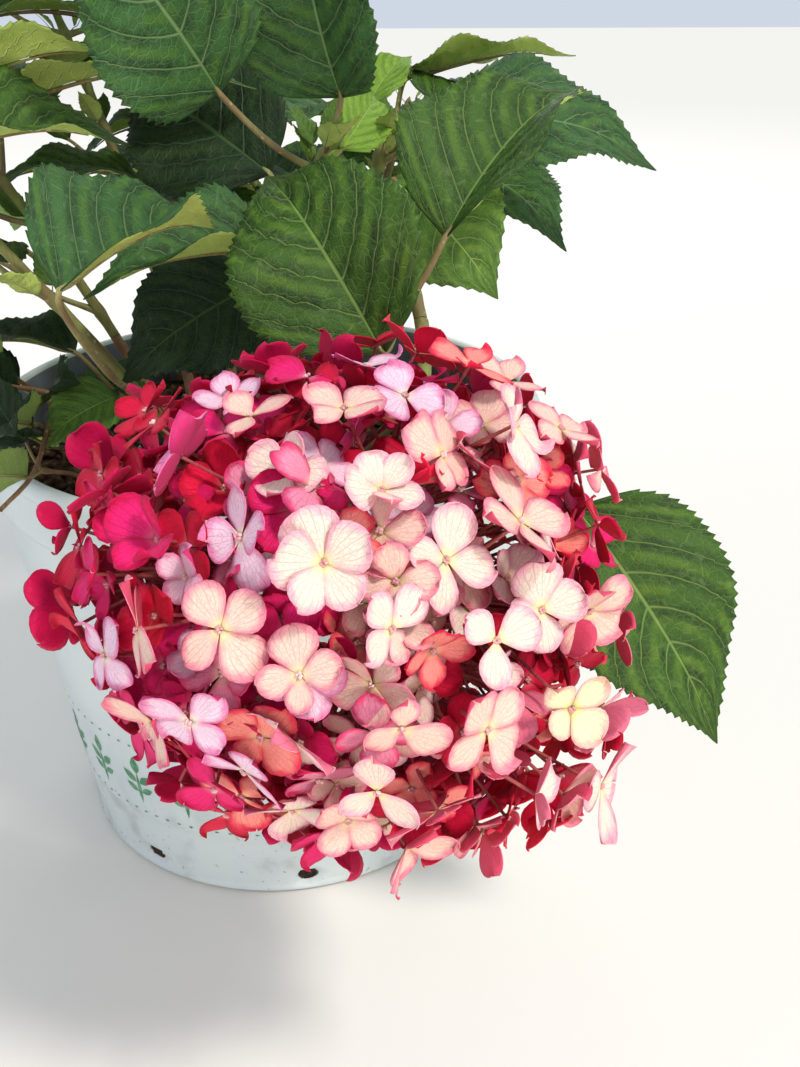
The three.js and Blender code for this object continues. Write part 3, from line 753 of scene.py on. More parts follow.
def add_stem(heap, cane, rng):
    curve = cane["stem"]
    shares = np.linspace(0, 1, int(curve.length / STEM_RING_STEP) + 2)
    flare = np.maximum(0, 1 - shares * curve.length / FLARE_HEIGHT)
    radii = cane["radius"] * (1 + (FOOT_FLARE - 1) * flare**2) - (cane["radius"] - TWIG_RADIUS) * shares
    joints = np.arange(FIRST_JOINT, curve.length - LAST_JOINT, JOINT_STEP) / curve.length
    radii = radii - STEM_INSET + swollen(shares, curve.length, joints, JOINT_SWELL)
    points = np.array(curve.evens(shares))
    points[0, 2] = MIX_LEVEL - 1
    add_bark(heap, points, radii, CANE_SIDES, STEM_RIDGES, rng)


def add_twig(heap, cane, joints, rng):
    curve = cane["twig"]
    shares = np.linspace(0, 1, int(curve.length / TWIG_RING_STEP) + 2)
    radii = lerp(TWIG_RADIUS, cane["tip"], shares) - TWIG_INSET
    radii = radii + swollen(shares, curve.length, joints, TWIG_SWELL)
    points = curve.evens(shares)
    if cane["name"] != "flower":
        ahead = unit(points[-1] - points[-2])
        points += [points[-1] + ahead * step for step in TIP_STEPS]
        radii = np.concatenate([radii, [radii[-1] * share for share in TIP_SHARES], [TIP_POINT]])
    add_bark(heap, points, radii, TWIG_SIDES, TWIG_RIDGES, rng)


# Leaves


def blade_frame(leaf):
    base = np.array(leaf["base"], float)
    along = np.array(leaf["tip"], float) - base
    length = np.linalg.norm(along)
    along /= length
    faces = np.array(leaf["faces"], float)
    up = unit(faces - along * faces.dot(along))
    return base, along, up, np.cross(along, up), length


def ruled_leaf(cane, pair, side, attempt):
    """The leaf that the rule gives for a place on a twig."""
    index, pairs = cane["index"], cane["pairs"]
    draw = seeded_random(index * 4096 + pair * 64 + side * 16 + attempt)
    at = lerp(FIRST_PAIR, LAST_PAIR, pair / (pairs - 1))
    sway = (draw() - 0.5) * (SWAY + attempt * SWAY_STEP)
    turn = math.radians((pair % 2) * PAIR_TURN + side * 180 + index * CANE_TURN + sway)
    outward = np.array([math.cos(turn), math.sin(turn), 0])
    lift = LAST_PAIR_LIFT if pair == pairs - 1 else 0
    rise = PETIOLE_RISE + PETIOLE_RISE_SPREAD * draw() + lift
    stalk = lerp(*PETIOLE_LENGTHS, draw())
    base = cane["twig"].even(at) + outward * stalk + np.array([0, 0, stalk * rise])
    length = lerp(*BLADE_LENGTHS, draw()) * (1 - LEAF_SHRINK * attempt)
    slope = lerp(*BLADE_SLOPES, draw())
    heading = turned_about_z(outward, (draw() - 0.5) * BLADE_SWAY)
    heading[2] = slope
    width = length * lerp(*BLADE_WIDTHS, draw())
    leaf = dict(at=at, base=base, tip=base + unit(heading) * length, width=width)
    leaf.update(faces=(outward[0] * BLADE_FACING, outward[1] * BLADE_FACING, 1))
    leaf.update(fold=lerp(*BLADE_FOLDS, draw()), curl=lerp(*BLADE_CURLS, draw()))
    return leaf


def ruled_leaves(cane, tree):
    """The leaves by rule that stand in the solid model."""
    leaves = []
    for pair in range(cane["pairs"]):
        for side in (0, 1):
            for attempt in range(LEAF_TRIES):
                leaf = ruled_leaf(cane, pair, side, attempt)
                if stands(tree, leaf["tip"]):
                    leaves.append(leaf)
                    break
    return leaves


def front_leaves(cane):
    keys = ("cane", "at", "base", "tip", "width", "faces", "fold", "curl", "tone", "near", "quilt")
    return [dict(zip(keys, row)) for row in FRONT_LEAVES if row[0] == cane["name"]]


def blade_stations(teeth):
    """Shares of a blade's length, and how far its teeth stand out at each."""
    shares, reaches = [0], [0]
    for tooth in range(teeth):
        for place, reach in TOOTH_STATIONS:
            share = (tooth + 0.5 + place) / (teeth + 1)
            shares.append(lerp(TOOTHLESS, 1, share))
            reaches.append(reach)
    return np.array(shares + [1]), np.array(reaches + [0])


def blade_relief(leaf, s, t, full, spread, rng):
    """Pleats between the veins, a groove over the midrib and a wavy edge, as on a blade of full size."""
    phase = VEINS * (t - VEIN_RISE * np.abs(s) ** VEIN_BEND)
    between = np.sqrt(np.sin(math.pi * phase) ** 2 + PLEAT_ROUNDING) - PLEAT_MIDDLE
    inner = np.clip(1 - np.abs(s) ** 4, 0, 1) * smooth_step(*PLEAT_START, np.abs(s))
    inner = inner * smooth_step(*PLEAT_ENDS, full)
    pleats = QUILTING * between * inner * leaf.get("quilt", 1)
    groove = RIB_GROOVE * np.exp(-((spread / RIB_HALF_WIDTH) ** 2)) * (1 - t)
    wave = np.sin(2 * math.pi * (EDGE_WAVES * t + rng.uniform()) + (s > 0) * rng.uniform(*WAVE_SHIFTS))
    return pleats - groove + EDGE_WAVE * wave * s**2 * smooth_step(*WAVE_ENDS, full)


def blade_surface(leaf, rng):
    """The middle surface of a blade as a grid, with its places across and along."""
    base, along, up, across, length = blade_frame(leaf)
    stations, reaches = blade_stations(max(FEWEST_TEETH, int(round(TEETH * length / TEETH_LENGTH))))
    columns = np.array(BLADE_COLUMNS if leaf["width"] > SMALL_WIDTH else SMALL_BLADE_COLUMNS)
    s, t = columns[None, :], stations[:, None]
    full = outline_at(BLADE_OUTLINE, t)
    scale = min(1, length / RELIEF_LENGTH)
    tooth = TOOTH * scale * reaches[:, None] * smooth_step(*TOOTH_ENDS, full)
    reach = s * full * leaf["width"] + np.sign(s) * np.abs(s) ** TOOTH_SHARPNESS * tooth
    spread = np.abs(reach)
    near = math.radians(leaf.get("near", 0))
    folds = math.radians(leaf["fold"]) + abs(near) * (np.sign(s) == np.sign(near))
    lift = (np.sqrt(spread**2 + FOLD_ROUNDING**2) - FOLD_ROUNDING) * np.sin(folds)
    lift = lift + scale * blade_relief(leaf, s, t, full, spread, rng)
    bow = 4 * leaf["curl"] * t * (1 - t) * length
    droop = leaf.get("droop", DROOP) * length * smooth_step(DROOP_START, 1, t) ** 2
    twist = rng.uniform(-TWIST, TWIST) * t**2
    rows = base + along * t * length + up * (bow - droop)
    turned_across = across * np.cos(twist) + up * np.sin(twist)
    grid = rows[:, None] + turned_across[:, None] * (reach * np.cos(folds))[:, :, None]
    return grid + up * lift[:, :, None], columns, stations


def add_blade(heap, leaf, rng):
    surface, s, t = blade_surface(leaf, rng)
    normals = surface_normals(surface)
    thickness = BLADE_EDGE * (1 - RIM_THINNING * np.abs(s) ** 4)[None, :, None]
    upper = surface + normals * thickness / 2
    lower = surface - normals * thickness / 2
    heap.add(*thin_body(upper, lower, s, t))
    return surface


def add_petiole(heap, leaf, root, surface):
    """A petiole that leaves its twig thickened, sags a little and runs on below the blade as its midrib."""
    base = np.array(leaf["base"], float)
    reach = base - root
    knee = root + reach / 2
    knee[2] -= np.linalg.norm(reach) * PETIOLE_SAG
    columns = surface.shape[1]
    middle = (surface[:, columns // 2 - 1] + surface[:, columns // 2]) / 2
    up = blade_frame(leaf)[2]
    rib = [middle[int(len(middle) * share)] - up * lerp(*RIB_DEPTHS, share) for share in RIB_SHARES]
    curve = Curve([root, knee, base - up * PETIOLE_DEPTH] + rib)
    rings = SMALL_PETIOLE_RINGS if leaf["width"] < SMALL_WIDTH else PETIOLE_RINGS
    shares = np.linspace(0, 1, rings)
    points = curve.evens(shares)
    stalk = np.linalg.norm(reach) / curve.length
    places = (0, PETIOLE_NECK[0] * stalk, PETIOLE_NECK[1] * stalk, stalk, 1)
    thick = np.interp(shares, places, PETIOLE_RADII)
    heap.add(*tube(points, thick * min(1, leaf["width"] / PETIOLE_FULL_WIDTH), PETIOLE_SIDES))


def leaf_tone(leaf, rng):
    """A leaf's tone: darker low in the clump, as painted shade, and fresher near its top and outside."""
    if "tone" in leaf:
        return leaf["tone"]
    draw = (leaf["base"][2] - TONE_FOOT) / TONE_HEIGHT + rng.normal(0, TONE_SPREAD)
    return next(tone for limit, tone in TONE_LIMITS if draw < limit)


def young_pair(cane, at, rng, size):
    """Two young leaves on short stalks at a joint."""
    twig = cane["twig"]
    root = twig.even(at)
    ahead = unit(twig.even(min(at + HEADING_STEP, 1)) - twig.even(max(at - HEADING_STEP, 0)))
    turn = rng.uniform(0, 2 * math.pi)
    leaves = []
    for side in (0, 1):
        side_way = np.array([math.cos(turn + side * math.pi), math.sin(turn + side * math.pi), 0])
        way = unit(ahead * rng.uniform(*YOUNG_RISES) + side_way)
        base = root + way * size * YOUNG_STALK
        tip = base + unit(way + np.array([0, 0, rng.uniform(*YOUNG_TILTS)])) * size
        leaf = dict(at=at, base=base, tip=tip, width=size * YOUNG_WIDTH, faces=ahead)
        leaf.update(fold=YOUNG_FOLD, curl=YOUNG_CURL, droop=YOUNG_DROOP)
        leaf.update(tone="young" if size < YOUNG_SIZE or rng.random() < YOUNG_SHARE else "fresh")
        leaves.append(leaf)
    return leaves


def finer_leaves(cane, joints, rng):
    """Small shoots at some joints and a closed pair at the twig's tip."""
    leaves = []
    for at in joints:
        if rng.random() < SHOOT_SHARE:
            leaves += young_pair(cane, at, rng, rng.uniform(*SHOOT_SIZES))
    if cane["leafy"] == 1:
        leaves += young_pair(cane, TIP_PAIR, rng, rng.uniform(*TIP_PAIR_SIZES))
    return leaves


def add_low_shoots(stems, petioles, blades):
    """Thin shoots from the mix: leafy ones with pairs of small leaves that are dark as painted shade, and
    bare dry ones.
    """
    rng = np.random.default_rng(SHOOT_SEED)
    for points, pairs in LOW_SHOOTS:
        curve = Curve(points)
        shares = np.linspace(0, 1, 26)
        radii = lerp(*LOW_SHOOT_RADII, shares)
        radii = radii + swollen(shares, curve.length, [at for at, size, tone in pairs], JOINT_SWELL)
        add_bark(stems, curve.evens(shares), radii, LOW_SHOOT_SIDES, LOW_SHOOT_RIDGES, rng)
        for at, size, tone in pairs:
            for leaf in young_pair(dict(twig=curve), at, rng, size):
                leaf.update(tone=tone, width=size * LOW_LEAF_WIDTH, fold=LOW_LEAF_FOLD, droop=LOW_LEAF_DROOP)
                surface = add_blade(blades[tone], leaf, rng)
                add_petiole(petioles, leaf, curve.even(at), surface)


# Flower heads


def spread_ways(head, count):
    """Directions spread evenly over the open part of a ball, along a golden spiral."""
    turn = turn_to(head["axis"])
    lowest = math.cos(math.radians(head["open"]))
    ways = []
    for i in range(count):
        z = lerp(1, lowest, (i + 0.5) / count)
        ring = math.sqrt(1 - z * z)
        angle = i * GOLDEN_ANGLE
        ways.append(turn @ np.array([ring * math.cos(angle), ring * math.sin(angle), z]))
    return ways


def floret_spot(head, head_index, way, i, attempt):
    draw = seeded_random(head_index * 65536 + i * 8 + attempt)
    lean = np.array([draw() - 0.5, draw() - 0.5, draw() - 0.5])
    inset = head["size"] * FLORET_INSET / head["radius"]
    depth = 1 - inset - FLORET_DEPTHS * draw() - FLORET_SINK * attempt
    spot = dict(way=way, centre=np.array(head["centre"]) + way * head["radius"] * depth)
    spot.update(looks=unit(way + lean * FLORET_LEAN), spin=draw() * math.pi)
    spot.update(size=head["size"] * lerp(*FLORET_SIZES, draw()) * (1 - FLORET_SHRINK * attempt))
    return spot


def bulge(head, way):
    """How much further out than its ball the head reaches in a direction, which makes it less even."""
    rows = head["bulges"]
    return 1 + sum(amount * max(0, way.dot(unit(middle))) ** BULGE_SHARPNESS for middle, amount in rows)


def bulged(head, spot):
    """A floret's spot moved out or in with the head's bulges."""
    centre = lerp(np.array(head["centre"], float), spot["centre"], bulge(head, spot["way"]))
    return dict(spot, centre=centre)


def floret_shoulders(spot):
    turn = turn_to(spot["looks"])
    half = math.radians(SEPAL_HALF_ANGLE)
    size = spot["size"]
    corners = []
    for k in range(4):
        for side in (-half, half):
            angle = spot["spin"] + k * math.pi / 2 + side
            local = np.array([size * math.cos(angle), size * math.sin(angle), size * SEPAL_LIFT])
            corners.append(turn @ local + spot["centre"])
    return corners


def standing_floret(head, head_index, way, i, tree):
    """The first of a floret's tries that is in the solid model, or None."""
    for attempt in range(FLORET_TRIES):
        spot = floret_spot(head, head_index, way, i, attempt)
        if sum(stands(tree, corner) for corner in floret_shoulders(spot)) >= 2:
            return bulged(head, spot)
    return None


def head_stalks(head):
    """The hub, and the arms and branches as (root, end) pairs."""
    centre = np.array(head["centre"], float)
    hub = centre - unit(head["axis"]) * head["radius"] * head["hub"]
    branch_count = round(head["florets"] / FLORETS_PER_BRANCH)
    arm_count = round(branch_count / BRANCHES_PER_ARM)
    tips = [centre + way * head["radius"] for way in spread_ways(head, arm_count)]
    arms = [lerp(hub, tip, ARM_REACH) for tip in tips]
    tips = [centre + way * head["radius"] for way in spread_ways(head, branch_count)]
    ends = [lerp(hub, tip, BRANCH_REACH) for tip in tips]
    carried = [0] * len(arms)
    branches = []
    for end in ends:
        arm = int(np.argmin([np.linalg.norm(a - end) for a in arms]))
        share = max(TOP_ROOT - ROOT_STEP * carried[arm], ROOT_STEP)
        carried[arm] += 1
        branches.append((lerp(hub, arms[arm], share), end))
    return hub, arms, branches


def filler_spots(head, standing, rng):
    """Smaller florets that sit deeper, in the room that the standing ones leave."""
    centre = np.array(head["centre"], float)
    spots = []
    for way in spread_ways(head, head["fillers"]):
        way = unit(way + rng.normal(0, FILLER_JITTER, 3))
        place = centre + way * head["radius"] * rng.uniform(*FILLER_DEPTHS) * bulge(head, way)
        size = head["size"] * rng.uniform(*FILLER_SIZES)
        gaps = [np.linalg.norm(other["centre"] - place) for other in standing + spots]
        if min(gaps) < size * FILLER_GAP:
            continue
        looks = unit(way + rng.uniform(-FILLER_LEAN, FILLER_LEAN, 3))
        spin = rng.uniform(0, FILLER_SPIN)
        spots.append(dict(way=way, centre=place, looks=looks, spin=spin, size=size, filler=True))
    return spots


def floret_shade(spot, head, rng):
    """Painted light and shade: pale where the head faces its viewer and the light, deep round its outside and
    for the fillers, with more magenta on the shaded left.
    """
    way = spot["way"]
    score = way.dot(unit(head["pale"])) + rng.normal(0, SHADE_SPREAD)
    # Painted shade for the fillers deeper in the head
    if spot.get("filler"):
        score -= FILLER_PAINTED_SHADE
    left = way[0] < LEFT_EDGE + rng.normal(0, LEFT_SPREAD) + way[2] * LEFT_LEAN
    draw = rng.random()
    if score > LIME_SCORE and draw < LIME_SHARE:
        return "lime"
    # Painted light on the lit right
    if not left:
        score += RIGHT_LIT_PALER
    group = next(i for i, lowest in enumerate(SHADE_SCORES) if score > lowest)
    shades = (LEFT_SHADES if left else RIGHT_SHADES)[group]
    return next(shade for shade, share in shades if draw < share)


def sepal_half(t):
    """Half a sepal's width at shares of its length: a narrow foot and a round end. The widest is 1."""
    foot = np.sin(math.pi / 2 * np.minimum(t / SEPAL_WIDEST, 1) ** SEPAL_FOOT_CURVE)
    end = np.sqrt(np.maximum(1 - (np.maximum(t - SEPAL_WIDEST, 0) / (1 - SEPAL_WIDEST)) ** 2, 0))
    return np.maximum(foot * end, SEPAL_NARROWEST)


def add_sepal(heap, spot, angle, size, tilt, rng):
    """A sepal that stands up from its floret by tilt, cupped or bent back, one edge over its neighbour."""
    inner = spot.get("filler")
    along = np.array(INNER_ROWS if inner else SEPAL_ROWS)
    across = np.array(INNER_COLUMNS if inner else SEPAL_COLUMNS)
    t, s = along[:, None], across[None, :]
    y = -s * sepal_half(t) * size * rng.uniform(*SEPAL_WIDTHS)
    notch = rng.uniform(*NOTCHES) if rng.random() < NOTCHED_SHARE else UNNOTCHED
    x = t * size - size * notch * np.exp(-((s / NOTCH_WIDTH) ** 2)) * smooth_step(NOTCH_START, 1, t)
    cup = rng.uniform(*CUPS)
    roll = rng.uniform(*ROLLS)
    bend = rng.uniform(*BENDS)
    ripple = RIPPLE * np.cos(s * RIPPLES + rng.uniform(0, RIPPLE_TURN)) * smooth_step(*RIPPLE_START, t)
    z = size * (cup * s**2 * t + roll * s * t - bend * t**2 + ripple)
    rise, run = math.sin(tilt), math.cos(tilt)
    x, z = x * run - z * rise, x * rise + z * run + size * SEPAL_FOOT
    c, q = math.cos(angle), math.sin(angle)
    local = np.stack([x * c - y * q, x * q + y * c, z], axis=2)
    grid = local @ turn_to(spot["looks"]).T + spot["centre"]
    half = surface_normals(grid) * SEPAL_EDGE / 2
    heap.add(*thin_body(grid + half, grid - half, across, along))


def add_floret(heap, spot, rng):
    draw = rng.random()
    count = 3 if draw < THREE_PARTED else (5 if draw > FIVE_PARTED else 4)
    openness = abs(rng.normal(0, OPEN_SPREAD)) + (HALF_OPEN if rng.random() < HALF_OPEN_SHARE else 0)
    for k in range(count):
        angle = spot["spin"] + k * 2 * math.pi / count + rng.normal(0, SPACING_SPREAD)
        tilt = min(openness + rng.normal(0, OPEN_SPREAD), STEEPEST)
        add_sepal(heap, spot, angle, spot["size"] * rng.uniform(*SEPAL_LENGTHS), tilt, rng)


def add_eye(heap, spot, rng):
    """The true flower at a floret's middle, as a few tiny rounded buds."""
    turn = turn_to(spot["looks"])
    for k in range(EYE_BUDS):
        angle = k * 2 * math.pi / EYE_BUDS + rng.uniform(-EYE_JITTER, EYE_JITTER)
        size = rng.uniform(*EYE_SIZES)
        height = EYE_HEIGHT + rng.uniform(0, EYE_JITTER)
        foot = np.array([math.cos(angle) * EYE_REACH, math.sin(angle) * EYE_REACH, height])
        centre = spot["centre"] + turn @ foot
        points = [centre + spot["looks"] * row * size for row in EYE_ROWS]
        heap.add(*tube(points, np.array(EYE_WIDTHS) * size, EYE_SIDES))


def add_pedicel(heap, root, spot, rng):
    """A pedicel from its branch to the underside of its floret."""
    end = spot["centre"] + spot["looks"] * PEDICEL_END
    sag = spot["looks"] * np.linalg.norm(end - root) * PEDICEL_BEND
    knee = lerp(root, end, PEDICEL_KNEE) - sag + rng.normal(0, PEDICEL_SWAY, 3)
    curve = Curve([root, knee, end])
    points = [curve.at(t) for t in np.linspace(0, 1, PEDICEL_RINGS)]
    heap.add(*tube(points, np.linspace(*PEDICEL_RADII, PEDICEL_RINGS), PEDICEL_SIDES))


def head_stalk(cane, hub):
    """The curve that leads from the end of a cane's leafy stretch to the hub of its head."""
    curve = cane["curve"]
    if cane["leafy"] < 1:
        rest = curve.stretch(cane["leafy"] + JOINT_GAP / curve.length, 1)
        return Curve(rest.points + [hub])
    start = curve.at(1) + curve.heading() * JOINT_GAP
    return Curve([start, start + curve.heading() * HEAD_STALK_LEAD, hub])


def add_head_stalk(heap, cane, head, rng):
    curve = head_stalk(cane, head_stalks(head)[0])
    shares = np.linspace(0, 1, 40)
    points = curve.evens(shares)
    radii = lerp(*HEAD_STALK_RADII, shares)
    add_bark(heap, points, radii, TWIG_SIDES, HEAD_STALK_RIDGES, rng)


def add_head(head, head_index, sepals, stalks, eyes):
    """One flower head: its florets by shade, their eyes, and its stalks."""
    rng = np.random.default_rng(HEAD_SEED + head_index)
    tree = vertex_tree("flower_head_" + head["name"])
    hub, arms, branches = head_stalks(head)
    for end in arms:
        points = [lerp(hub, end, t) for t in np.linspace(ARM_FOOT, 1, STALK_RINGS)]
        stalks.add(*tube(points, np.linspace(*ARM_RADII, STALK_RINGS), ARM_SIDES))
    for root, end in branches:
        points = [lerp(root, end, t) for t in np.linspace(0, 1, STALK_RINGS)]
        stalks.add(*tube(points, np.linspace(*BRANCH_RADII, STALK_RINGS), BRANCH_SIDES))
    standing = []
    for i, way in enumerate(spread_ways(head, head["florets"])):
        spot = standing_floret(head, head_index, way, i, tree)
        if spot:
            standing.append(spot)
    for i, way in enumerate(head["more"]):
        standing.append(bulged(head, floret_spot(head, head_index, unit(way), head["florets"] + i, 0)))
    fillers = filler_spots(head, standing, rng)
    ends = np.array([end for root, end in branches])
    for spot in standing + fillers:
        nearest = int(np.argmin(np.linalg.norm(ends - spot["centre"], axis=1)))
        root, end = branches[nearest]
        add_pedicel(stalks, lerp(root, end, rng.uniform(*PEDICEL_ROOTS)), spot, rng)
        add_floret(sepals[floret_shade(spot, head, rng)], spot, rng)
        add_eye(eyes, spot, rng)


# Pot, its print and the potting mix


def pot_wall(z):
    return lerp(FOOT_RADIUS, RIM_RADIUS - BAND_STEP, z / BAND_FOOT)


# The pot's section as (radius, height): under and round its foot, and from its band over the rolled rim and
# down the inside
POT_FOOT = [(0.5, 3.4), (72, 3.4), (76, 2.8), (78.5, 0.5), (80, 0), (84.2, 0), (86.2, 0.6), (87, 1.8)]
POT_RIM = [(107.2, 157.4), (108.3, 158), (108.9, 159), (109, 161), (109.1, 168), (109.2, 174.6)]
POT_RIM += [(109.4, 175.4), (110.1, 176.2), (110.7, 177.8), (110.8, 179.6), (110.4, 181.4), (109.4, 182.6)]
POT_RIM += [(108, 183), (106.6, 182.7), (105.6, 181.7), (105.1, 180), (104.6, 176), (104, 166), (103.2, 150)]


def pot_profile():
    """The pot's whole section: up the outside, over the rolled rim and down the inside."""
    line = list(POT_FOOT)
    for z in np.arange(WALL_START, BAND_FOOT - 1, WALL_STEP):
        step = sum(size * float(smooth_step(place, place + LEDGE_RISE, z)) for place, size in LEDGES)
        line.append((pot_wall(z) - WALL_INSET + step, z))
    return np.array(line + POT_RIM)


def drain_depth(angle, z):
    """How far the wall is pressed in for the drain openings near the foot."""
    spacing = 2 * math.pi / DRAINS
    around = (angle / spacing + DRAIN_SHIFT) % 1 - 0.5
    sideways = around * spacing * FOOT_RADIUS / DRAIN_HALF_WIDTH
    upright = (z - DRAIN_LEVEL) / DRAIN_HALF_HEIGHT
    distance = np.sqrt(sideways**2 + upright**2)
    return DRAIN_PRESS * (1 - smooth_step(*DRAIN_EDGE, distance))


# The profile's last points, below the rim on the inside, which get the inside's painted shade
INSIDE_RINGS = 4


def add_pot(heap):
    profile = pot_profile()
    angles = round_angles(POT_SEGMENTS)
    radius = np.repeat(profile[:, :1], POT_SEGMENTS, axis=1)
    z = np.repeat(profile[:, 1:], POT_SEGMENTS, axis=1)
    turn = np.repeat(angles[None, :], len(profile), axis=0)
    outside = (np.arange(len(profile)) >= len(POT_FOOT))[:, None] & (z < DRAIN_TOP)
    radius = radius - np.where(outside, drain_depth(turn, z), 0)
    points = np.stack([radius * np.cos(turn), radius * np.sin(turn), z], axis=2).reshape(-1, 3)
    quads = grid_quads(len(profile), POT_SEGMENTS, closed=True)
    kinds = np.zeros(len(quads), int)
    kinds[(len(profile) - INSIDE_RINGS - 1) * POT_SEGMENTS :] = 1
    heap.add(points, quads, kinds=kinds)


def add_wall_patch(heap, turn, height, outline):
    """A thin printed patch on the wall. outline is a grid of (sideways, up) places from its middle."""
    z = height + outline[..., 1]
    place, size = LEDGES[0]
    radius = pot_wall(z) - WALL_INSET + size * (z > place + LEDGE_RISE) + PRINT_THICKNESS
    angle = turn + outline[..., 0] / radius
    points = np.stack([radius * np.cos(angle), radius * np.sin(angle), z], axis=-1)
    heap.add(points.reshape(-1, 3), grid_quads(*outline.shape[:2]))


def leaf_patch(x, y, heading, length):
    t = np.linspace(0, 1, 7)
    half = np.sin(np.pi * t**PATCH_CURVE) * length * PATCH_WIDTH + PATCH_TIP
    s = np.array([1, 0, -1])
    along = np.repeat((t * length)[:, None], 3, axis=1)
    across = s[None, :] * half[:, None]
    c, q = math.cos(math.radians(heading)), math.sin(math.radians(heading))
    return np.stack([x + along * c - across * q, y + along * q + across * c], axis=-1)


def add_print(heap):
    """A band of small leafy sprigs with a line of dots above and below it."""
    for i in range(SPRIG_COUNT):
        turn = i * 2 * math.pi / SPRIG_COUNT
        for row in SPRIG_LEAVES:
            add_wall_patch(heap, turn, SPRIG_HEIGHT, leaf_patch(*row))
        add_wall_patch(heap, turn, SPRIG_HEIGHT, leaf_patch(*SPRIG_STEM) * np.array([STEM_THINNING, 1]))
    dots = SPRIG_COUNT * DOTS_PER_SPRIG
    for row in DOT_ROWS:
        for i in range(dots):
            add_wall_patch(heap, i * 2 * math.pi / dots, SPRIG_HEIGHT + row, leaf_patch(*DOT))


def rolling(x, y, rng):
    """A gentle uneven height over the plane, from seeded waves."""
    height = np.zeros_like(x)
    for i in range(ROLL_WAVES):
        size = LONGEST_WAVE / (1 + i)
        turn = rng.uniform(0, TURN)
        step = (x * math.cos(turn) + y * math.sin(turn)) * 2 * math.pi / size
        height += np.sin(step + rng.uniform(0, TURN)) / (1 + i) ** ROLL_FADING
    return height


def add_mix_surface(heap, rng):
    radii = np.linspace(MIX_HOLE, MIX_RADIUS + MIX_OVERLAP, MIX_RINGS)
    angles = round_angles(MIX_SPOKES)
    turn, radius = np.meshgrid(angles, radii)
    x, y = radius * np.cos(turn), radius * np.sin(turn)
    z = MIX_LEVEL + MIX_RISE + MIX_ROLL * rolling(x, y, rng) + rng.normal(0, MIX_GRAIN, x.shape)
    z = np.where(radius > MIX_RADIUS - MIX_EDGE, np.minimum(z, MIX_LEVEL + MIX_EDGE_RISE), z)
    quads = grid_quads(len(radii), len(angles), closed=True)[:, ::-1]
    heap.add(np.stack([x, y, z], axis=2).reshape(-1, 3), quads)


CRUMB_FACES = np.array([(0, 3, 2, 1), (4, 5, 6, 7), (0, 1, 5, 4), (1, 2, 6, 5), (2, 3, 7, 6), (3, 0, 4, 7)])
CRUMB_ROUND = ((-1, -1), (1, -1), (1, 1), (-1, 1))
CRUMB_CORNERS = np.array([(x, y, z) for z in (-1, 1) for x, y in CRUMB_ROUND], float)


def add_crumb(heap, place, size, flatness, rng):
    corners = CRUMB_CORNERS * size * np.array([1, rng.uniform(*CRUMB_WIDTHS), flatness])
    corners = corners + rng.normal(0, size * CRUMB_ROUGHNESS, corners.shape)
    tilt = turn_to([rng.normal(0, CRUMB_TILT), rng.normal(0, CRUMB_TILT), 1])
    turn = rng.uniform(0, TURN)
    spun = np.array([turned_about_z(corner, turn) for corner in corners])
    heap.add(spun @ tilt.T + place, CRUMB_FACES)


def scatter(heap, count, sizes, flatness, rng):
    for _ in range(count):
        radius = (MIX_RADIUS - CRUMB_INSET) * math.sqrt(rng.random())
        turn = rng.uniform(0, TURN)
        size = rng.uniform(*sizes)
        height = MIX_LEVEL + CRUMB_RISE + size * flatness
        place = np.array([radius * math.cos(turn), radius * math.sin(turn), height])
        add_crumb(heap, place, size, flatness, rng)


# Materials


def colour(red, green, blue):
    """A colour given as it looks on a screen, from 0 to 255."""
    channels = [c / 255 for c in (red, green, blue)]
    linear = [c / 12.92 if c <= 0.04045 else ((c + 0.055) / 1.055) ** 2.4 for c in channels]
    return (*linear, 1)


def arithmetic(operation, swapped=False):
    """A method that adds one math node to what a value has worked out."""

    def method(self, *others):
        values = (*others, self) if swapped else (self, *others)
        return self.shader.math(operation, *values)

    return method


class Value:
    """What a material's node works out. Arithmetic on it adds math nodes."""

    def __init__(self, shader, socket):
        self.shader = shader
        self.socket = socket

    __add__ = arithmetic("ADD")
    __sub__ = arithmetic("SUBTRACT")
    __rsub__ = arithmetic("SUBTRACT", swapped=True)
    __mul__ = arithmetic("MULTIPLY")
    __truediv__ = arithmetic("DIVIDE")
    __pow__ = arithmetic("POWER")
    __abs__ = arithmetic("ABSOLUTE")
    root = arithmetic("SQRT")
    fraction = arithmetic("FRACT")
    larger = arithmetic("MAXIMUM")

    def step(self, low, high, out_low=0.0, out_high=1.0):
        """A smooth step from one number to another as the value goes from low to high."""
        inputs = dict(enumerate((self, low, high, out_low, out_high)))
        return self.shader.add("MapRange", inputs, interpolation_type="SMOOTHSTEP")

    def fall(self, low, high):
        return self.step(low, high, 1.0, 0.0)


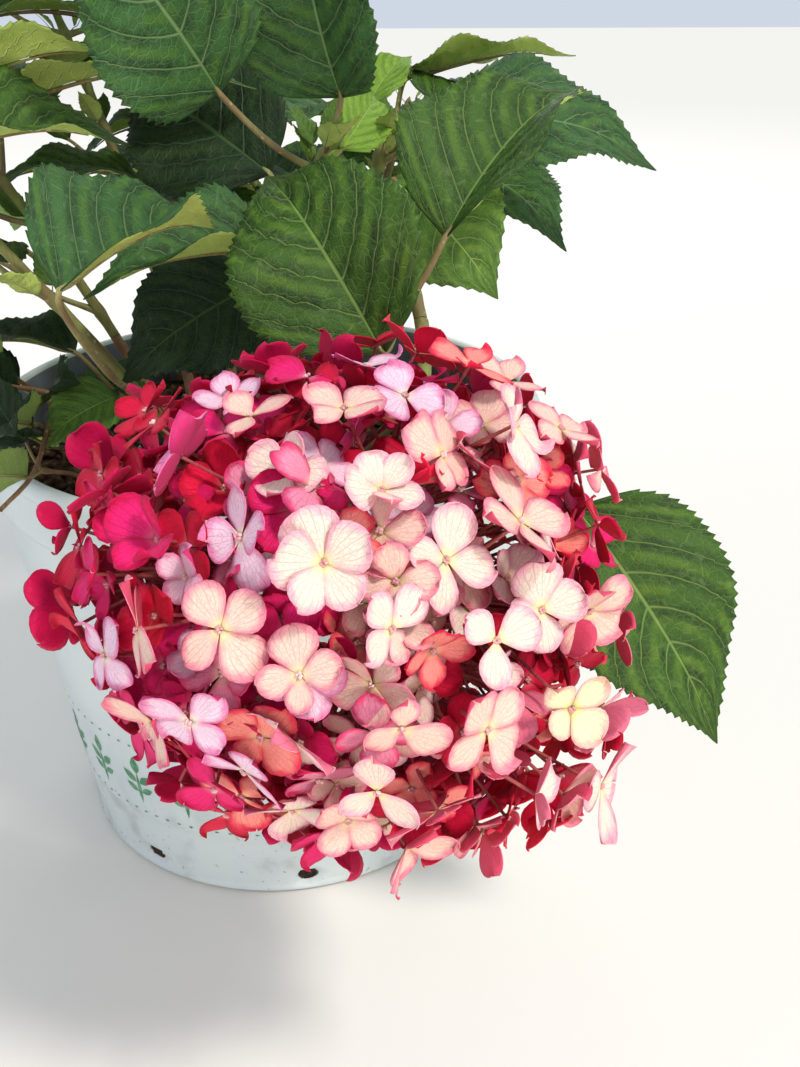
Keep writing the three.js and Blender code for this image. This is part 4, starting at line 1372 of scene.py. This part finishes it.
class Shader:
    """A node material, and short calls for its nodes."""

    def __init__(self, name, roughness=0.6, sheen=0, specular=0.5):
        self.material = bpy.data.materials.new(name)
        self.material.use_nodes = True
        self.tree = self.material.node_tree
        self.surface = self.tree.nodes["Principled BSDF"].inputs
        self.surface["Roughness"].default_value = roughness
        self.surface["Sheen Weight"].default_value = sheen
        self.surface["Specular IOR Level"].default_value = specular

    def put(self, socket, value):
        if isinstance(value, Value):
            self.tree.links.new(value.socket, socket)
        else:
            socket.default_value = value

    def add(self, kind, inputs, output=0, **settings):
        """The value of one new node, from its settings and what goes into it, by name or number."""
        node = self.tree.nodes.new("ShaderNode" + kind)
        for name, setting in settings.items():
            setattr(node, name, setting)
        for place, value in inputs.items():
            self.put(node.inputs[place], value)
        return Value(self, node.outputs[output])

    def math(self, operation, *values):
        return self.add("Math", dict(enumerate(values)), operation=operation)

    def mix(self, share, a, b):
        """A mix of two colours, each from a node or as it looks on a screen."""
        a, b = [colour(*c) if isinstance(c, tuple) else c for c in (a, b)]
        return self.add("Mix", {0: share, 6: a, 7: b}, 2, data_type="RGBA")

    def split(self, vector):
        node = self.tree.nodes.new("ShaderNodeSeparateXYZ")
        self.put(node.inputs[0], vector)
        return [Value(self, output) for output in node.outputs]

    def map_place(self):
        """The place on the piece's own map, as two values."""
        return self.split(self.add("UVMap", {}, uv_map="OFBake"))[:2]

    def object_place(self):
        return self.add("TexCoord", {}, "Object")

    def vector(self, x, y):
        return self.add("CombineXYZ", {0: x, 1: y})

    def noise(self, vector, scale, detail, stretch=None):
        if stretch:
            vector = self.add("Mapping", {"Vector": vector, "Scale": stretch})
        return self.add("TexNoise", {"Vector": vector, "Scale": scale, "Detail": detail}, "Fac")

    def cells(self, vector, scale, feature="DISTANCE_TO_EDGE"):
        return self.add("TexVoronoi", {"Vector": vector, "Scale": scale}, "Distance", feature=feature)

    def finish(self, base, height, depth, strength):
        self.put(self.surface["Base Color"], base)
        bump = self.add("Bump", {"Strength": strength, "Distance": depth, "Height": height})
        self.put(self.surface["Normal"], bump)
        return self.material


def sheet_place(shader):
    """On a thin body's map: how far across from its middle line, how far along, and if it is below."""
    u, v = shader.map_place()
    below = shader.math("GREATER_THAN", u, 0.5)
    across = (u - below * 0.5 - MAP_MIDDLES[0]) / MAP_HALF
    along = (v - MAP_FOOT) / MAP_LENGTH
    return across, along, below


# A leaf's marks: its side veins, its midrib, its coarse and fine nets, the painted light on the crests
# between its veins and the painted shade beside them, and how strongly they show
VEIN_WIDTH = 0.086
VEIN_THINNING = 0.04
MIDRIB = (0.01, 0.042)
NET_SCALE = 2.2
NET_WIDTH = 0.12
NET_SHARE = 0.32
FINE_SCALE = 6.0
FINE_WIDTH = 0.2
FINE_SHARE = 0.12
CREST_LIGHT_SHARE = 0.5
SHADOW_SHARE = 0.55
VEIN_SHARE = 0.54
VEIN_SHARE_BELOW = 0.8


def leaf_material(name, upper, shadow, light, vein, under, under_vein):
    """A blade with pale sunk veins in a fine net above, painted light on its crests and painted shade beside
    its veins, and lighter with raised veins below.
    """
    shader = Shader("leaf_" + name, roughness=0.52, specular=0.2)
    across, along, below = sheet_place(shader)
    away = abs(across)
    phase = (along - away**VEIN_BEND * VEIN_RISE) * VEINS
    distance = abs(phase.fraction() - 0.5)
    width = away * -VEIN_THINNING + VEIN_WIDTH
    lines = distance.step(0.5 - width, 0.5).larger(away.fall(*MIDRIB))
    spot = shader.vector(across * 4.2, along * 14.0)
    net = shader.cells(spot, NET_SCALE).fall(0.0, NET_WIDTH)
    fine = shader.cells(spot, FINE_SCALE).fall(0.0, FINE_WIDTH)
    veins = lines.larger(net * NET_SHARE).larger(fine * FINE_SHARE)
    mottle = shader.noise(spot, 0.7, 4.0)
    # Painted light on the crests between the veins
    crest_light = distance.step(0.3, 0.05) * mottle.step(0.4, 0.6)
    top = shader.mix(mottle.step(0.35, 0.68), upper, shadow)
    top = shader.mix(crest_light * CREST_LIGHT_SHARE, top, light)
    # Painted shade beside the veins
    top = shader.mix(distance.step(0.22, 0.46) * SHADOW_SHARE, top, shadow)
    top = shader.mix(veins * VEIN_SHARE, top, vein)
    low = shader.mix(veins * VEIN_SHARE_BELOW, under, under_vein)
    height = veins * (below * 2.0 - 1.0) + mottle * 0.35
    return shader.finish(shader.mix(below, top, low), height, depth=0.0007, strength=0.75)


# A sepal's marks: where it deepens to its margin, its fan of veins, their net, and its pale or yellow foot
MARGIN = (0.48, 1.15)
FAN_VEINS = 4.9
FAN_SPREAD = 3.4
FAN_LINE = (0.44, 0.5)
SEPAL_NET_SCALE = 3.4
SEPAL_NET_WIDTH = 0.08
SEPAL_NET_SHARE = 0.45
SEPAL_VEIN_SHARE = 0.5
SEPAL_EYE = (0.06, 0.3)


def sepal_material(name, face, margin, under, vein, eye):
    """A sepal that deepens towards its margin, with fine veins that fan out from its foot."""
    shader = Shader("sepal_" + name, roughness=0.6, sheen=0.05, specular=0.2)
    across, along, below = sheet_place(shader)
    spot = shader.vector(across * 2.0, along * 2.6)
    patch = shader.noise(spot, 1.1, 4.0)
    upward = abs((along - 0.5) / 0.5)
    outward = (abs(across) ** 2.0 + upward**2.0 * 0.9).root() + (patch * 0.7 - 0.35)
    fan = across * (along * along * -FAN_SPREAD + FAN_VEINS) + patch * 0.5
    rays = abs(fan.fraction() - 0.5).step(*FAN_LINE)
    net = shader.cells(spot, SEPAL_NET_SCALE).fall(0.0, SEPAL_NET_WIDTH)
    veins = rays.larger(net * SEPAL_NET_SHARE)
    top = shader.mix(outward.step(*MARGIN), face, margin)
    top = shader.mix(veins * SEPAL_VEIN_SHARE, top, vein)
    top = shader.mix(along.fall(*SEPAL_EYE), top, eye)
    low = shader.mix(veins * SEPAL_VEIN_SHARE, under, vein)
    return shader.finish(shader.mix(below, top, low), patch * 0.5 - veins, depth=0.0003, strength=0.5)


def stem_material(name, light, dark, pores, streak_scale=900.0):
    """Bark or skin with fine lengthwise streaks and pale pores."""
    shader = Shader(name, roughness=0.62, specular=0.35)
    place = shader.object_place()
    streaks = shader.noise(place, streak_scale, 5.0, stretch=(1, 1, 0.12))
    blotches = shader.noise(place, 60.0, 3.0)
    dots = shader.cells(place, 260.0, "F1").fall(0.1, 0.22)
    base = shader.mix(blotches.step(0.35, 0.65), light, dark)
    base = shader.mix(streaks.step(0.45, 0.62) * 0.55, base, dark)
    base = shader.mix(dots * 0.5, base, pores)
    return shader.finish(base, streaks + dots * 0.4, depth=0.0005, strength=0.6)


def drain_mask(shader, x, y, z):
    """Where the drain openings are dark, by the measure of drain_depth."""
    turns = shader.math("ARCTAN2", y, x) * (DRAINS / (2 * math.pi)) + DRAIN_SHIFT
    sideways = (turns.fraction() - 0.5) * (2 * math.pi / DRAINS * FOOT_RADIUS / DRAIN_HALF_WIDTH)
    upright = (z - DRAIN_LEVEL * MM) / (DRAIN_HALF_HEIGHT * MM)
    return (upright * upright + sideways * sideways).root().fall(0.72, 0.86)


def pot_material():
    """Satin white plastic with a faint mould grain, a dusty lower wall and dirt specks."""
    shader = Shader("pot_white", roughness=0.42, specular=0.5)
    place = shader.object_place()
    x, y, z = shader.split(place)
    cloud = shader.noise(place, 14.0, 5.0)
    streaks = shader.noise(place, 120.0, 4.0, stretch=(1, 1, 0.08))
    specks = shader.noise(place, 420.0, 3.0).step(0.64, 0.74)
    smears = shader.noise(place, 55.0, 6.0).step(0.52, 0.72)
    dirt = z.fall(0.0, 0.075) * specks.larger(smears * 0.5)
    base = shader.mix(cloud.step(0.35, 0.7), (202, 210, 208), (188, 198, 198))
    base = shader.mix(streaks.step(0.5, 0.7) * 0.2, base, (196, 203, 208))
    base = shader.mix(dirt * 0.75, base, (122, 104, 84))
    base = shader.mix(drain_mask(shader, x, y, z), base, (34, 26, 20))
    shader.put(shader.surface["Roughness"], cloud.step(0.3, 0.7, 0.36, 0.5))
    grain = shader.noise(place, 900.0, 2.0)
    return shader.finish(base, grain + streaks, depth=0.0002, strength=0.3)


def shaded_inside_material():
    """The pot's inside: grey plastic in painted shade, with smears towards the mix, part stain and part
    painted shade.
    """
    shader = Shader("pot_inside_shaded", roughness=0.7, specular=0.3)
    place = shader.object_place()
    height = shader.split(place)[2]
    smears = shader.noise(place, 70.0, 6.0).step(0.35, 0.65)
    stains_and_shade = height.step(0.156, 0.18, 1.0, 0.25) * smears
    # The grey ground is painted shade, and the smears are part stain and part painted shade
    base = shader.mix(stains_and_shade, (112, 120, 126), (60, 52, 44))
    return shader.finish(base, smears, depth=0.0004, strength=0.4)


def print_material():
    """Green print, a little worn."""
    shader = Shader("print_green", roughness=0.5)
    place = shader.object_place()
    worn = shader.noise(place, 300.0, 4.0).step(0.38, 0.6)
    base = shader.mix(worn, (96, 150, 112), (60, 122, 84))
    return shader.finish(base, shader.noise(place, 800.0, 2.0), depth=0.0001, strength=0.2)


def mix_material(name, light, dark):
    """Something crumbly: the mix, its crumbs and grit, and the buds at the middle of a floret."""
    shader = Shader(name, roughness=0.9, specular=0.2)
    place = shader.object_place()
    grains = shader.noise(place, 380.0, 6.0)
    clumps = shader.noise(place, 70.0, 4.0)
    base = shader.mix(grains.step(0.38, 0.66), dark, light)
    base = shader.mix(clumps.step(0.4, 0.65) * 0.5, base, dark)
    return shader.finish(base, grains + clumps, depth=0.0012, strength=0.9)


def floor_material():
    shader = Shader("floor_pale", roughness=0.85, specular=0.2)
    shader.put(shader.surface["Base Color"], colour(226, 222, 214))
    return shader.material


# Colours as they look on a screen. A leaf's are its ground, its shadow, its light and its veins above, then
# its ground and its veins below. Above, its shadow gives its mottle and the painted shade beside its veins,
# and its light is the painted light on the crests between them.
# The dark tone is painted shade, for leaves low and deep in the clump and inside the pot
TONES = ("dark", "deep", "green", "fresh", "young")
LEAF_COLOURS = (
    ((33, 53, 28), (15, 29, 17), (48, 70, 30), (76, 104, 60), (134, 166, 84), (178, 200, 124)),
    ((54, 94, 46), (28, 56, 28), (84, 124, 44), (126, 156, 98), (182, 208, 104), (208, 222, 140)),
    ((56, 90, 28), (28, 54, 18), (98, 134, 38), (134, 162, 84), (186, 212, 106), (210, 224, 142)),
    ((86, 124, 46), (58, 92, 38), (128, 160, 60), (164, 190, 104), (192, 216, 108), (216, 228, 146)),
    ((126, 164, 52), (94, 136, 44), (156, 190, 68), (190, 210, 114), (198, 220, 112), (222, 230, 150)),
)

# A sepal's colours are its face, its margin, its under side, its veins and its foot
SHADES = ("blush", "shell", "lilac", "rose", "magenta", "coral", "crimson", "lime")
SEPAL_COLOURS = (
    ((243, 220, 202), (243, 170, 186), (230, 112, 138), (140, 96, 88), (240, 228, 168)),
    ((243, 202, 184), (238, 132, 152), (220, 74, 106), (146, 80, 78), (240, 218, 164)),
    ((243, 206, 222), (230, 126, 172), (208, 44, 108), (142, 72, 108), (240, 224, 206)),
    ((240, 142, 170), (222, 52, 108), (204, 26, 82), (152, 40, 76), (240, 196, 180)),
    ((232, 24, 108), (204, 4, 76), (198, 2, 72), (138, 0, 56), (232, 104, 140)),
    ((248, 146, 134), (236, 48, 80), (226, 16, 62), (162, 30, 46), (246, 196, 156)),
    ((216, 8, 60), (184, 0, 42), (190, 0, 46), (124, 0, 32), (222, 88, 100)),
    ((240, 230, 184), (240, 182, 172), (226, 136, 134), (146, 126, 78), (214, 214, 120)),
)


# The plant


def grow_cane(cane, stems, twigs, petioles, blades):
    rng = np.random.default_rng(CANE_SEED + cane["index"])
    leaves = front_leaves(cane) + ruled_leaves(cane, vertex_tree("leaves_" + cane["name"]))
    joints = sorted({round(leaf["at"], 3) for leaf in leaves})
    leaves += finer_leaves(cane, joints, rng)
    add_stem(stems, cane, rng)
    add_twig(twigs, cane, joints, rng)
    for head in HEADS:
        if head["cane"] == cane["name"]:
            add_head_stalk(twigs, cane, head, rng)
    for leaf in leaves:
        surface = add_blade(blades[leaf_tone(leaf, rng)], leaf, rng)
        add_petiole(petioles, leaf, cane["twig"].even(leaf["at"]), surface)


def build_plant():
    canes = growth()
    stems, twigs, petioles = Heap(), Heap(), Heap()
    blades = {tone: Heap() for tone in TONES}
    add_low_shoots(stems, petioles, blades)
    for cane in canes:
        grow_cane(cane, stems, twigs, petioles, blades)
    masses = ["leaves_" + cane["name"] for cane in canes]
    bark = stem_material("cane_bark", (156, 122, 88), (112, 82, 56), (190, 164, 132))
    green = stem_material("twig_skin", (132, 144, 76), (116, 104, 62), (180, 172, 126))
    petiole = stem_material("petiole_skin", (150, 150, 92), (126, 106, 70), (190, 182, 140))
    make_piece("canes_bark", stems, [bark], ["cane_" + cane["name"] for cane in canes])
    make_piece("leafy_twigs", twigs, [green], masses)
    make_piece("petioles_and_ribs", petioles, [petiole], masses)
    for tone, colours in zip(TONES, LEAF_COLOURS):
        make_piece("blades_" + tone, blades[tone], [leaf_material(tone, *colours)], masses)


def build_heads():
    sepals = {shade: Heap() for shade in SHADES}
    stalks, eyes = Heap(), Heap()
    for index, head in enumerate(HEADS):
        add_head(head, index, sepals, stalks, eyes)
    nodes = ["flower_head_" + head["name"] for head in HEADS]
    for shade, colours in zip(SHADES, SEPAL_COLOURS):
        make_piece("sepals_" + shade, sepals[shade], [sepal_material(shade, *colours)], nodes)
    red = stem_material("stalk_red", (150, 44, 66), (176, 96, 84), (196, 130, 110), streak_scale=1400.0)
    pale = mix_material("eye_pale", (250, 222, 214), (226, 158, 164))
    make_piece("head_stalks", stalks, [red], nodes)
    make_piece("floret_eyes", eyes, [pale], nodes)


def build_pot():
    rng = np.random.default_rng(POT_SEED)
    shell, sprigs, surface, crumbs, grit = [Heap() for _ in range(5)]
    add_pot(shell)
    add_print(sprigs)
    add_mix_surface(surface, rng)
    scatter(crumbs, *CRUMBS, rng)
    scatter(grit, *GRIT, rng)
    soil = mix_material("mix_dark", (74, 56, 42), (34, 26, 20))
    chips = mix_material("mix_chips", (112, 84, 58), (58, 42, 30))
    pale = mix_material("mix_grit", (214, 208, 196), (168, 160, 148))
    make_piece("pot_shell", shell, [pot_material(), shaded_inside_material()], ["pot"])
    make_piece("pot_sprigs", sprigs, [print_material()])
    make_piece("mix_surface", surface, [soil])
    make_piece("mix_crumbs", crumbs, [chips])
    make_piece("mix_pale_grit", grit, [pale])
    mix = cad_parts["potting_mix"]
    mix.data.materials.clear()
    mix.data.materials.append(soil)


# Floor, light and camera, in metres and degrees

FLOOR_SIZE = 8
FLOOR_LEVEL = -0.0004
SKY = (228, 238, 252)
SKY_STRENGTH = 0.8
MIDDLE = (0, -0.05, 0.22)
HEAD_MIDDLE = (0.03, -0.18, 0.17)
CAMERA_PLACE = (0.038, -0.455, 0.357)
CAMERA_TILT = 62.5
CAMERA_TURN = -2
SENSOR = 36
PHOTO_HEIGHT = 1067
FOCAL_PIXELS = 1195


def build_stage():
    bpy.ops.mesh.primitive_plane_add(size=FLOOR_SIZE, location=(0, 0, FLOOR_LEVEL))
    floor = bpy.context.object
    floor.name = "floor"
    floor.data.materials.append(floor_material())
    world = bpy.data.worlds.new("sky")
    bpy.context.scene.world = world
    world.use_nodes = True
    background = world.node_tree.nodes["Background"]
    background.inputs[0].default_value = colour(*SKY)
    background.inputs[1].default_value = SKY_STRENGTH


def add_light(name, kind, place, target, power, tint, **settings):
    """A light that looks from a place to a target. A sun's place only gives its direction."""
    data = bpy.data.lights.new(name, kind)
    data.energy = power
    data.color = colour(*tint)[:3]
    for setting, value in settings.items():
        setattr(data, setting, value)
    light = bpy.data.objects.new(name, data)
    light.location = place
    light.visible_camera = False
    light.rotation_euler = (Vector(target) - Vector(place)).to_track_quat("-Z", "Y").to_euler()
    bpy.context.scene.collection.objects.link(light)


def build_lights():
    add_light("sun", "SUN", (0.8, -0.75, 1.7), MIDDLE, 2.25, (255, 251, 244), angle=math.radians(9))
    disk = dict(shape="DISK", size=1.2)
    add_light("fill", "AREA", (-1.3, -0.9, 0.9), MIDDLE, 4, (236, 242, 255), **disk)
    add_light("back", "AREA", (0.2, 1.5, 1.2), MIDDLE, 5, (250, 250, 255), **disk)
    disk["size"] = 0.3
    add_light("bounce", "AREA", (0.35, -1.2, 0.2), HEAD_MIDDLE, 4, (255, 246, 236), **disk)


def build_camera():
    data = bpy.data.cameras.new("view")
    data.sensor_width = SENSOR
    data.sensor_fit = "AUTO"
    data.lens = SENSOR * FOCAL_PIXELS / PHOTO_HEIGHT
    camera = bpy.data.objects.new("view", data)
    camera.location = CAMERA_PLACE
    camera.rotation_euler = (math.radians(CAMERA_TILT), 0, math.radians(CAMERA_TURN))
    bpy.context.scene.collection.objects.link(camera)
    bpy.context.scene.camera = camera


build_camera()
build_lights()
build_stage()
build_pot()
build_plant()
build_heads()
bpy.context.scene.view_settings.view_transform = "Standard"
